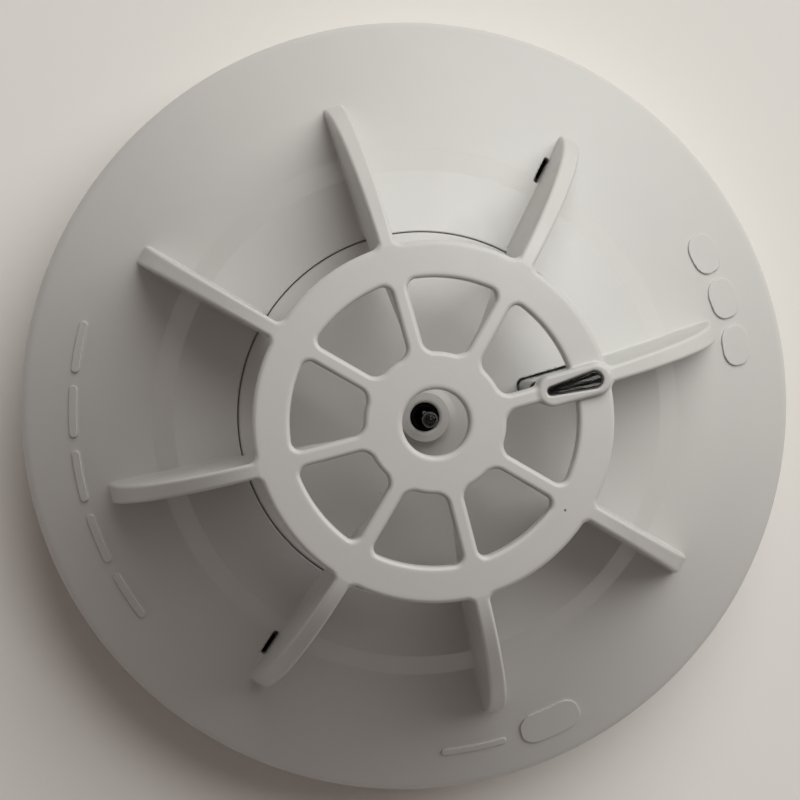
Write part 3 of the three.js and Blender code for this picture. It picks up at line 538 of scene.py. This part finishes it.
# ---------------------------------------------------------------- rear housing
def rear_housing(x, y, z):
    radius = np.hypot(x, y)
    cup = round_common(radius - HOUSING_RADIUS, slab(z, housing_low.z, HOUSING_TOP_Z), HOUSING_EDGE)
    hollow = round_common(radius - HOUSING_RADIUS + HOUSING_WALL, HOUSING_FLOOR_Z - z, HOLLOW_EDGE)
    body = round_cut(cup, hollow, LATCH_EDGE)
    u, v = folded(x, y, 4, STATION_ANGLE)
    place = np.hypot(u - POST_PLACE, v)
    post = round_common(place - POST_RADIUS, slab(z, HOUSING_FLOOR_Z - 1, POST_TOP_Z), POST_EDGE)
    body = round_join(body, post, POST_FILLET)
    body = np.maximum(body, POST_BORE - place)
    reach = HOUSING_RADIUS + LUG_REACH
    lug = sector(radius, lock_angle(x, y), HOUSING_RADIUS - 1, reach, -LUG_HALF, LUG_HALF)
    lug = round_common(lug, slab(z, LUG_BOTTOM_Z, HOUSING_FLOOR_Z), LATCH_EDGE)
    body = round_join(body, lug, LATCH_EDGE)
    along, across = folded(x, y, 2, TURN / 8)
    low = (ARM_INNER, -ARM_HALF, HOUSING_FLOOR_Z - 1)
    arm = box(along, across, z, low, (ARM_OUTER, ARM_HALF, housing_high.z), ARM_EDGE)
    low = (BARB_INNER, -ARM_HALF, BARB_FOOT_Z)
    barb = box(along, across, z, low, (BARB_OUTER, ARM_HALF, housing_high.z), LATCH_EDGE)
    slope = along - ARM_OUTER + (z - BARB_FOOT_Z - BARB_RISE) * BARB_SLOPE
    barb = np.maximum(barb, slope / math.hypot(1, BARB_SLOPE))
    return round_join(round_join(body, arm, ARM_FILLET), barb, LATCH_EDGE)


# ---------------------------------------------------------------- raised pads on the flare
def flare_pad(azimuth, place, length, width):
    """A plain raised pad on the flare, length along the rim and width across it."""
    middle = math.radians(azimuth)

    def field(x, y, z):
        radius = np.hypot(x, y)
        along = ((np.arctan2(y, x) - middle + math.pi) % TURN - math.pi) * place
        across = (radius - place) * math.hypot(1, FLARE_SLOPE)
        above = under_line(radius, z, BAND_OUTER, FLARE_SLOPE)
        corner = min(length, width) * PAD_CORNER_SHARE
        q = np.hypot(
            np.maximum(np.abs(along) - length / 2 + corner, 0),
            np.maximum(np.abs(across) - width / 2 + corner, 0),
        )
        inner = np.maximum(np.abs(along) - length / 2, np.abs(across) - width / 2)
        plan = np.where(q > 0, q - corner, inner)
        return round_common(plan, slab(above, -PAD_ROOT, PAD_HEIGHT), PAD_EDGE)

    return field


# ---------------------------------------------------------------- thermistor
def capsule(middle_z, half, reach):
    def field(x, y, z):
        away = np.maximum(np.abs(z - middle_z) - half + reach, 0)
        return np.sqrt(x * x + y * y + away * away) - reach

    return field


# Painted shade: this near-black sleeve darkens the whole bore as its deep shade would, besides standing for a
# guessed black sleeve.
def bore_shade_sleeve(x, y, z):
    wall = slab(np.hypot(x, y), SLEEVE_BORE, SLEEVE_RADIUS)
    return round_common(wall, slab(z, SLEEVE_FOOT_Z, SLEEVE_TOP_Z), SLEEVE_EDGE)


def spaced(low, high, step):
    step = step
    return np.linspace(low, high, max(2, round((high - low) / step)) + 1)


def axis(low, high, step, *dense):
    """Grid places from low to high. Each of dense is (low, high, step) of a finer stretch."""
    parts = []
    for start, end, fine in dense:
        parts += [spaced(low, start, step), spaced(start, end, fine)]
        low = end
    parts.append(spaced(low, high, step))
    return np.unique(np.concatenate(parts))


def once_round(count):
    """Angles of a polar grid."""
    return spaced(0, TURN, TURN / count)[:-1]


def finer_at_fins(step, fine, reach):
    """Angles of a polar grid that is finer within reach of each fin."""
    fins = [i * TURN / FIN_COUNT for i in range(1, FIN_COUNT)]
    dense = [(0, reach, fine), *((a - reach, a + reach, fine) for a in fins), (TURN - reach, TURN, fine)]
    return axis(0, TURN, step, *dense)[:-1]


CORNERS = [(i, j, k) for i in (0, 1) for j in (0, 1) for k in (0, 1)]
EDGES = [(a, b) for a in range(8) for b in range(a + 1, 8) if bin(a ^ b).count("1") == 1]


def cells_and_faces(inside, polar):
    """Which grid cells the surface crosses, and the quads that join them."""
    shape = tuple(n - 1 for n in inside.shape)
    count = np.zeros(shape, np.int8)
    for i, j, k in CORNERS:
        count += inside[i : i + shape[0], j : j + shape[1], k : k + shape[2]]
    crossed = (count > 0) & (count < 8)
    if polar:
        crossed[:, -1] = False
    cells = np.argwhere(crossed)
    number = np.full(shape, -1, np.int32)
    number[tuple(cells.T)] = np.arange(len(cells))
    if polar:
        number[:, -1] = number[:, 0]
    quads = []
    for along in range(3):
        one, two = [a for a in range(3) if a != along]
        before = np.moveaxis(inside, (along, one, two), (0, 1, 2))
        ids = np.moveaxis(number, (along, one, two), (0, 1, 2))
        if polar and along == 1:
            before = before[:-1]
        start, end = before[:-1, 1:-1, 1:-1], before[1:, 1:-1, 1:-1]
        for leaving in (True, False):
            at = np.argwhere((start & ~end) if leaving else (~start & end))
            i, j, k = at[:, 0], at[:, 1] + 1, at[:, 2] + 1
            ring = [ids[i, j - 1, k - 1], ids[i, j, k - 1], ids[i, j, k], ids[i, j - 1, k]]
            forward = leaving != (along == 1)
            quads.append(np.stack(ring if forward else ring[::-1], 1))
    return cells, np.concatenate(quads)


def gradient(field, p, h=0.01):
    found = np.empty_like(p)
    for a in range(3):
        step = np.zeros(3)
        step[a] = h
        found[:, a] = (field(*(p + step).T) - field(*(p - step).T)) / (2 * h)
    return found


def onto_surface(field, p, rounds, reach):
    """Moves points along the field's slope until they lie on its surface."""
    for _ in range(rounds):
        slope = gradient(field, p)
        steep = np.maximum((slope * slope).sum(1), 0.1)
        move = -(field(*p.T) / steep)[:, None] * slope
        length = np.linalg.norm(move, axis=1, keepdims=True)
        p = p + move * np.minimum(1, reach / np.maximum(length, 1e-9))
    return p


def relaxed(p, quads):
    """Each point halfway to the mean of its neighbours."""
    total, count = np.zeros_like(p), np.zeros(len(p))
    for a in range(4):
        for b in ((a + 1) % 4, (a + 3) % 4):
            for c in range(3):
                total[:, c] += np.bincount(quads[:, a], p[quads[:, b], c], len(p))
            count += np.bincount(quads[:, a], minlength=len(p))
    return (p + total / np.maximum(count, 1)[:, None]) / 2


def field_surface(field, axes, polar):
    """Points and quads of a field's surface on a grid of x, y and z, or of radius, angle and z."""
    first, second, z = axes
    if polar:
        # The first two angles come again at the end, which closes the ring of cells.
        second = np.append(second, second[:2] + TURN)
    gx, gy = np.meshgrid(first, second, indexing="ij")
    if polar:
        gx, gy = gx * np.cos(gy), gx * np.sin(gy)
    values = np.empty((*gx.shape, len(z)), np.float32)
    for k, height in enumerate(z):
        values[:, :, k] = field(gx, gy, np.full_like(gx, height))
    cells, quads = cells_and_faces(values < 0, polar)
    corner_places, corner_values = [], []
    for offset in CORNERS:
        at = cells + offset
        plan = (at[:, 0], at[:, 1])
        corner_places.append(np.stack([gx[plan], gy[plan], z[at[:, 2]]], 1))
        corner_values.append(values[tuple(at.T)].astype(float))
    total, count = np.zeros((len(cells), 3)), np.zeros(len(cells))
    for a, b in EDGES:
        va, vb = corner_values[a], corner_values[b]
        crossed = (va < 0) != (vb < 0)
        share = np.where(crossed, va / np.where(crossed, va - vb, 1), 0)[:, None]
        place = corner_places[a] + share * (corner_places[b] - corner_places[a])
        total += np.where(crossed[:, None], place, 0)
        count += crossed
    return total / count[:, None], quads


def mesh_piece(name, points, faces, normals=None):
    """A smooth-shaded object from points in mm."""
    mesh = bpy.data.meshes.new(name)
    mesh.from_pydata((points * MM).tolist(), [], faces.tolist())
    mesh.polygons.foreach_set("use_smooth", np.ones(len(mesh.polygons), bool))
    if normals is not None:
        mesh.normals_split_custom_set_from_vertices(normals.tolist())
    piece = bpy.data.objects.new(name, mesh)
    bpy.context.scene.collection.objects.link(piece)
    return piece


def unit(vectors):
    return vectors / np.maximum(np.linalg.norm(vectors, axis=1, keepdims=True), 1e-9)


def moulded(name, field, axes, most_triangles=None, polar=False):
    """A smooth solid from its distance field, thinned where it is flat."""
    step = np.diff(axes[2]).min()
    points, quads = field_surface(field, axes, polar)
    points = onto_surface(field, points, 2, step)
    for _ in range(2):
        points = onto_surface(field, relaxed(points, quads), 2, step)
    if most_triangles and 2 * len(quads) > most_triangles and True:
        draft = mesh_piece(name + "_draft", points, quads)
        thin = draft.modifiers.new("thin", "DECIMATE")
        thin.ratio = most_triangles / (2 * len(quads))
        thinned = draft.evaluated_get(bpy.context.evaluated_depsgraph_get()).to_mesh()
        thinned.calc_loop_triangles()
        points = np.array([v.co for v in thinned.vertices]) / MM
        quads = np.array([t.vertices for t in thinned.loop_triangles])
        bpy.data.objects.remove(draft)
        points = onto_surface(field, points, 3, step)
    normals = unit(gradient(field, points))
    return mesh_piece(name, points, quads, normals)


# ---------------------------------------------------------------- material nodes
class Looks:
    """A material's node tree, with short calls for the nodes that these looks use."""

    def __init__(self, name):
        self.material = bpy.data.materials.new(name)
        self.material.use_nodes = True
        self.tree = self.material.node_tree
        self.shader = self.tree.nodes["Principled BSDF"]
        self.places = self.tree.nodes.new("ShaderNodeTexCoord").outputs["Object"]

    def link(self, a, b):
        self.tree.links.new(a, b)

    def set(self, **values):
        for key, value in values.items():
            self.shader.inputs[key.replace("_", " ")].default_value = value

    def noise(self, scale, detail=2.0, roughness=0.5):
        node = self.tree.nodes.new("ShaderNodeTexNoise")
        node.inputs["Scale"].default_value = scale
        node.inputs["Detail"].default_value = detail
        node.inputs["Roughness"].default_value = roughness
        self.link(self.places, node.inputs["Vector"])
        return node.outputs["Fac"]

    def cells(self, scale):
        node = self.tree.nodes.new("ShaderNodeTexVoronoi")
        node.inputs["Scale"].default_value = scale
        self.link(self.places, node.inputs["Vector"])
        return node.outputs["Distance"], node.outputs["Color"]

    def scaled(self, value, low, high, to_low, to_high):
        node = self.tree.nodes.new("ShaderNodeMapRange")
        self.link(value, node.inputs["Value"])
        for key, number in zip(("From Min", "From Max", "To Min", "To Max"), (low, high, to_low, to_high)):
            node.inputs[key].default_value = number
        return node.outputs["Result"]

    def times(self, a, b):
        node = self.tree.nodes.new("ShaderNodeMath")
        node.operation = "MULTIPLY"
        self.link(a, node.inputs[0])
        self.link(b, node.inputs[1])
        return node.outputs["Value"]

    def mixed(self, factor, first, second):
        node = self.tree.nodes.new("ShaderNodeMix")
        node.data_type = "RGBA"
        self.link(factor, node.inputs["Factor"])
        for socket, value in ((node.inputs[6], first), (node.inputs[7], second)):
            if isinstance(value, tuple):
                socket.default_value = (*value, 1.0)
            else:
                self.link(value, socket)
        return node.outputs[2]

    def colour(self, value):
        self.link(value, self.shader.inputs["Base Color"])

    def roughness(self, value):
        self.link(value, self.shader.inputs["Roughness"])

    def bump(self, *layers):
        """Layers of (height, distance in metres, strength), from the widest to the finest."""
        before = None
        for height, distance, strength in layers:
            node = self.tree.nodes.new("ShaderNodeBump")
            node.inputs["Distance"].default_value = distance
            node.inputs["Strength"].default_value = strength
            self.link(height, node.inputs["Height"])
            if before is not None:
                self.link(before, node.inputs["Normal"])
            before = node.outputs["Normal"]
        self.link(before, self.shader.inputs["Normal"])


def satin_plastic(name, colour, shade, roughness, specks):
    """Moulded satin plastic: slow colour drift, fine grain and, on outside faces, a little dust."""
    look = Looks(name)
    drift = look.scaled(look.noise(28.0, 3.0), 0.35, 0.65, 0.0, 1.0)
    body = look.mixed(drift, shade, colour)
    if specks:
        distance, random = look.cells(150.0)
        near = look.scaled(distance, 0.018, 0.032, 1.0, 0.0)
        picked = look.scaled(random, 0.80, 0.81, 0.0, 1.0)
        dirt = look.times(near, picked)
        body = look.mixed(dirt, body, (0.10, 0.07, 0.05))
    look.colour(body)
    look.roughness(look.scaled(look.noise(420.0, 2.0), 0.3, 0.7, roughness - 0.05, roughness + 0.06))
    look.bump((look.noise(240.0, 2.0), 0.00010, 0.25), (look.noise(5200.0, 2.0), 0.00002, 0.5))
    look.set(IOR=1.5, Specular_IOR_Level=0.5)
    return look.material


def clear_plastic(name, colour, roughness, ior, clearness):
    look = Looks(name)
    paler = tuple(value**0.9 for value in colour)
    look.colour(look.mixed(look.scaled(look.noise(300.0), 0.4, 0.6, 0.0, 1.0), colour, paler))
    look.roughness(look.scaled(look.noise(900.0), 0.3, 0.7, roughness, roughness + 0.02))
    look.set(IOR=ior, Transmission_Weight=clearness)
    return look.material


def sheet_metal(name, colour, shade, roughness):
    look = Looks(name)
    look.colour(look.mixed(look.scaled(look.noise(350.0, 4.0), 0.35, 0.65, 0.0, 1.0), shade, colour))
    look.roughness(look.scaled(look.noise(1500.0, 3.0), 0.3, 0.7, roughness - 0.06, roughness + 0.1))
    look.bump((look.noise(2500.0, 2.0), 0.00002, 0.4))
    look.set(Metallic=1.0)
    return look.material


def packaged(name, colour, shade, roughness, shine=0.5):
    """Moulded epoxy or ceramic, with a coarse grain."""
    look = Looks(name)
    look.colour(look.mixed(look.scaled(look.noise(1800.0, 4.0), 0.4, 0.6, 0.0, 1.0), shade, colour))
    look.roughness(look.scaled(look.noise(2600.0, 2.0), 0.3, 0.7, roughness - 0.05, roughness + 0.08))
    look.bump((look.noise(6000.0, 2.0), 0.00003, 0.5))
    look.set(Specular_IOR_Level=shine)
    return look.material


white = satin_plastic("white_abs_satin", (0.63, 0.627, 0.612), (0.612, 0.609, 0.596), 0.37, True)
cone_white = satin_plastic("cone_abs_satin", (0.63, 0.625, 0.61), (0.612, 0.606, 0.592), 0.41, True)
rear_white = satin_plastic("rear_abs_satin", (0.62, 0.61, 0.585), (0.60, 0.588, 0.565), 0.5, False)
clear = clear_plastic("clear_acrylic", (0.93, 0.95, 0.94), 0.01, 1.49, 1.0)
bead_glass = clear_plastic("bead_glass", (0.36, 0.35, 0.34), 0.0, 1.52, 1.0)
nickel = sheet_metal("nickel_plate", (0.72, 0.70, 0.65), (0.62, 0.60, 0.55), 0.28)
zinc = sheet_metal("zinc_steel", (0.62, 0.64, 0.66), (0.52, 0.54, 0.57), 0.34)
tinned = sheet_metal("tinned_wire", (0.72, 0.72, 0.71), (0.60, 0.60, 0.60), 0.25)
black_epoxy = packaged("black_epoxy", (0.018, 0.018, 0.020), (0.010, 0.010, 0.011), 0.5)
pale_epoxy = packaged("pale_epoxy", (0.78, 0.76, 0.68), (0.70, 0.68, 0.60), 0.3)
ceramic = packaged("ceramic", (0.42, 0.32, 0.20), (0.34, 0.25, 0.15), 0.45)
sleeve = packaged("capacitor_sleeve", (0.02, 0.035, 0.09), (0.012, 0.022, 0.06), 0.3)
laminate = packaged("board_laminate", (0.02, 0.13, 0.055), (0.012, 0.09, 0.038), 0.32)
# Near-black: the bead's real dark core, and also the painted shade of the sleeve in the thermistor's bore.
black_core_and_bore_shade = packaged("bead_core", (0.004, 0.0035, 0.003), (0.002, 0.002, 0.002), 0.7, 0.05)


def dressed(piece, material, slot, body, *nodes):
    """Gives a piece its material and its place in the object."""
    piece.data.materials.append(material)
    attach(piece, body)
    if nodes:
        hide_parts(*nodes)


# ---------------------------------------------------------------- the pieces
def make_cover():
    radii = axis(
        HUB_HOLE - 0.8, OUTER_RADIUS + 0.7, 0.45,
        (HUB_HOLE - 0.4, SEAM_RADIUS - 0.9, 0.33),
        (SEAM_RADIUS - 0.9, SEAM_RADIUS + 0.6, 0.13),
        (BAND_INNER[0] - 0.6, BAND_OUTER[0] + 0.6, 0.2),
        (SLOT_INNER + 1.3, SLOT_OUTER + 0.4, 0.3),
    )
    up = axis(COVER_FOOT_Z - 0.8, HEIGHT + 0.8, 0.48, (CAGE_RING_Z - 3.2, HEIGHT + 0.4, 0.28))
    around = finer_at_fins(math.radians(0.58), math.radians(0.33), math.radians(3.7))
    axes = (radii, around, up)
    piece = moulded("front_cover_moulding", front_cover, axes, 196000, polar=True)
    dressed(piece, white, "white_abs", "head", "front_cover")


def make_cone():
    radii = axis(TUBE_BORE - 0.8, cone_high.x + 0.7, 0.45, (TUBE_BORE - 0.5, TUBE_RADIUS + 1.6, 0.16))
    up = axis(cone_low.z - 0.7, TUBE_TOP_Z + 0.7, 0.42, (SEAM_Z - 1, TUBE_TOP_Z + 0.3, 0.2))
    axes = (radii, once_round(300), up)
    piece = moulded("sensor_cone_moulding", sensor_cone, axes, 90000, polar=True)
    dressed(piece, cone_white, "white_abs", "head", "sensor_cone")


def make_pipe():
    tongue = (PIPE_SHOULDER_Z - 1, pipe_high.z + 0.2, 0.12)
    axes = (
        axis(pipe_low.x - 0.4, pipe_high.x + 0.4, 0.13),
        axis(pipe_low.y - 0.4, pipe_high.y + 0.4, 0.1),
        axis(pipe_low.z - 0.4, pipe_high.z + 0.4, 0.24, tongue),
    )
    piece = moulded("light_pipe_clear", light_pipe, axes, 60000)
    dressed(piece, clear, "clear_acrylic", "head", "light_pipe")


def make_base():
    radii = axis(CABLE_HOLE - 0.8, base_high.x + 0.7, 0.45, (base_high.x - 1, base_high.x + 0.2, 0.2))
    up = axis(-0.7, base_high.z + 0.7, 0.3, (-0.2, 0.8, 0.16))
    axes = (radii, once_round(600), up)
    piece = moulded("mounting_base_moulding", mounting_base, axes, 170000, polar=True)
    dressed(piece, rear_white, "base_abs", "base", "mounting_base")


def make_housing():
    reach = housing_high.x + 0.7
    plan = axis(-reach, reach, 0.5)
    up = axis(housing_low.z - 0.7, housing_high.z + 0.7, 0.45)
    piece = moulded("rear_housing_moulding", rear_housing, (plan, plan, up), 100000)
    dressed(piece, rear_white, "housing_abs", "head", "rear_housing")


# Plain pads: azimuth in degrees, radius of the middle, length and width in mm.
PADS = {
    "cover_pad": [(13.0, 42.6, 5.2, 5.0), (4.6, 42.6, 5.2, 5.0), (-3.8, 42.6, 5.2, 5.0)],
    "cover_rib": [(154.0 + 11.0 * i, 43.0, 6.6, 1.3) for i in range(5)],
    "cover_disc": [(279.0, 44.2, 8.2, 5.4)],
    "cover_bar": [(265.5, 44.4, 8.6, 1.1)],
}


def make_pads():
    for kind, pads in PADS.items():
        for number, pad in enumerate(pads, 1):
            azimuth, place, length, width = pad
            a = math.radians(azimuth)
            height = BAND_OUTER[1] - (place - BAND_OUTER[0]) * FLARE_SLOPE
            middle = (place * math.cos(a), place * math.sin(a), height)
            reach = max(length, width) / 2 + 1
            axes = [axis(c - reach, c + reach, 0.16) for c in middle[:2]]
            axes.append(axis(middle[2] - 0.6 * width - 1, middle[2] + 0.6 * width + 1, 0.12))
            piece = moulded(f"{kind}_{number}", flare_pad(*pad), axes)
            dressed(piece, white, "white_abs", "head")


def make_thermistor():
    middle = (bead_low.z + bead_high.z) / 2
    half = (bead_high.z - bead_low.z) / 2
    reach = bead_high.x
    across = axis(-reach - 0.15, reach + 0.15, 0.06)
    up = axis(bead_low.z - 0.15, bead_high.z + 0.15, 0.06)
    glass = moulded("thermistor_bead_glass", capsule(middle, half, reach), (across, across, up))
    dressed(glass, bead_glass, "bead_glass", "head", "thermistor_bead")
    shape = capsule(middle, half - BEAD_GLASS, reach - BEAD_GLASS)
    core = moulded("thermistor_bead_core", shape, (across, across, up))
    dressed(core, black_core_and_bore_shade, "black_epoxy", "head")
    wide = axis(-2.1, 2.1, 0.12)
    tall = axis(TUBE_TOP_Z - 12, TUBE_TOP_Z, 0.2)
    # The sleeve is painted shade: near-black so that the bore reads as deeply shaded.
    bore_shade_sleeve_piece = moulded("bore_shade_sleeve", bore_shade_sleeve, (wide, wide, tall))
    dressed(bore_shade_sleeve_piece, black_core_and_bore_shade, "black_epoxy", "head")


make_cover()
make_cone()
make_pipe()
make_base()
make_housing()
make_pads()
make_thermistor()

# The look of each small part and the width of its broken edges in mm, by the start of its node's name.
SMALL_PARTS = {
    "circuit_board": (laminate, 0.12),
    "thermistor_lead": (tinned, 0.05),
    "alarm_led": (pale_epoxy, 0.08),
    "crystal_oscillator": (zinc, 0.25),
    "storage_capacitor": (sleeve, 0.35),
    "ceramic_capacitor": (ceramic, 0.12),
    "microcontroller": (black_epoxy, 0.12),
    "bridge_rectifier": (black_epoxy, 0.15),
    "surge_suppressor": (black_epoxy, 0.15),
    "voltage_regulator": (black_epoxy, 0.12),
    "resistor": (black_epoxy, 0.06),
    "contact_blade": (nickel, 0.12),
    "terminal_clip": (nickel, 0.12),
    "contact_screw": (zinc, 0.18),
    "contact_nut": (zinc, 0.2),
    "clamp_washer": (zinc, 0.1),
    "terminal_screw": (zinc, 0.18),
}


def finished(name, node, edge):
    """A copy of a small CAD part with its edges broken, as pressing or moulding leaves them."""
    mesh = node.data.copy()
    form = bmesh.new()
    form.from_mesh(mesh)
    bmesh.ops.remove_doubles(form, verts=form.verts, dist=0.002 * MM)
    bmesh.ops.dissolve_limit(form, angle_limit=math.radians(1), verts=form.verts, edges=form.edges)
    form.to_mesh(mesh)
    form.free()
    mesh.polygons.foreach_set("use_smooth", np.ones(len(mesh.polygons), bool))
    mesh.set_sharp_from_angle(angle=math.radians(40))
    mesh.materials.clear()
    piece = bpy.data.objects.new(name + "_finished", mesh)
    bpy.context.scene.collection.objects.link(piece)
    broken = piece.modifiers.new("broken_edges", "BEVEL")
    broken.width = edge * MM
    broken.segments = 2
    broken.limit_method = "ANGLE"
    broken.angle_limit = math.radians(40)
    return piece


def make_small_parts():
    record = frame["record"]
    slots = {row["node"]: row["material_slot"] for row in record["subparts"]}
    for body, names in record["behaviour"]["bodies"].items():
        for name in names:
            kind = next((key for key in SMALL_PARTS if name.startswith(key)), None)
            if kind:
                look, edge = SMALL_PARTS[kind]
                piece = finished(name, frame["nodes"][name], edge)
                dressed(piece, look, slots[name], body, name)


make_small_parts()

NODE_LOOKS = {
    "front_cover": white,
    "sensor_cone": cone_white,
    "rear_housing": rear_white,
    "mounting_base": rear_white,
    "light_pipe": clear,
    "thermistor_bead": bead_glass,
}
for name, node in frame["nodes"].items():
    kind = next((key for key in SMALL_PARTS if name.startswith(key)), None)
    node.data.materials.clear()
    node.data.materials.append(SMALL_PARTS[kind][0] if kind else NODE_LOOKS[name])


# ---------------------------------------------------------------- floor, light and camera
LIGHT_AZIMUTH = 43
SKY_ELEVATION = 80
SKY_STRENGTH = 0.25
CAMERA_TARGET_Z = 16
CAMERA_HEIGHT = 301.8
CAMERA_ASIDE = 26.8
CAMERA_ASIDE_AZIMUTH = math.radians(136.9)
PICTURE_UP_AZIMUTH = math.radians(75)


def make_floor():
    look = Looks("pale_floor")
    look.colour(look.mixed(look.noise(3.0), (0.85, 0.83, 0.80), (0.88, 0.86, 0.83)))
    look.roughness(look.scaled(look.noise(40.0), 0.3, 0.7, 0.7, 0.8))
    half = 40 * OUTER_RADIUS
    corners = np.array([(-half, -half, 0.0), (half, -half, 0.0), (half, half, 0.0), (-half, half, 0.0)])
    floor = mesh_piece("floor", corners, np.array([[0, 1, 2, 3]]))
    floor.data.materials.append(look.material)
    floor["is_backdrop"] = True


def pointed(obj, place, target, up):
    """Stands obj at place, looking along its own -Z at target."""
    forward = (target - place).normalized()
    right = forward.cross(up).normalized()
    turn = Matrix((right, right.cross(forward), -forward)).transposed()
    obj.matrix_world = Matrix.Translation(place) @ turn.to_4x4()
    bpy.context.scene.collection.objects.link(obj)


def toward(azimuth, elevation, distance):
    a, e = math.radians(azimuth), math.radians(elevation)
    return Vector((math.cos(a) * math.cos(e), math.sin(a) * math.cos(e), math.sin(e))) * distance


def softbox(name, azimuth, elevation, distance, size, power, colour):
    light = bpy.data.lights.new(name, "AREA")
    light.shape = "DISK"
    light.size = size
    light.energy = power
    light.color = colour
    place = toward(azimuth, elevation, distance)
    pointed(bpy.data.objects.new(name, light), place, Vector((0, 0, 0)), Vector((0, 0, 1)))


def make_light():
    softbox("window_light", LIGHT_AZIMUTH, 43.5, 1.1, 1.25, 12.0, (1.0, 1.0, 0.97))
    world = bpy.data.worlds.new("room")
    world.use_nodes = True
    tree = world.node_tree
    background = tree.nodes["Background"]
    background.inputs["Color"].default_value = (1.0, 0.84, 0.77, 1.0)
    places = tree.nodes.new("ShaderNodeTexCoord").outputs["Generated"]
    facing = tree.nodes.new("ShaderNodeVectorMath")
    facing.operation = "DOT_PRODUCT"
    facing.inputs[1].default_value = toward(LIGHT_AZIMUTH, SKY_ELEVATION, 1.0)
    tree.links.new(places, facing.inputs[0])
    level = tree.nodes.new("ShaderNodeMapRange")
    tree.links.new(facing.outputs["Value"], level.inputs["Value"])
    for key, number in zip(("From Min", "From Max", "To Min", "To Max"), (0.0, 1.0, 0.0, SKY_STRENGTH)):
        level.inputs[key].default_value = number
    tree.links.new(level.outputs["Result"], background.inputs["Strength"])
    bpy.context.scene.world = world


def make_camera():
    camera = bpy.data.cameras.new("camera")
    camera.lens = 104.7
    camera.sensor_width = 36.0
    camera.shift_x = -0.0107
    camera.shift_y = 0.0106
    target = Vector((0, 0, CAMERA_TARGET_Z)) * MM
    lean = CAMERA_ASIDE_AZIMUTH
    away = Vector((CAMERA_ASIDE * math.cos(lean), CAMERA_ASIDE * math.sin(lean), CAMERA_HEIGHT))
    place = target + away * MM
    obj = bpy.data.objects.new("camera", camera)
    up = Vector((math.cos(PICTURE_UP_AZIMUTH), math.sin(PICTURE_UP_AZIMUTH), 0))
    pointed(obj, place, target, up)
    bpy.context.scene.camera = obj


make_floor()
make_light()
make_camera()
bpy.context.scene.view_settings.view_transform = "Standard"

boxes = {"cad": cad_box, "visual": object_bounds()}
{key: [list(corner) for corner in value] for key, value in boxes.items()}
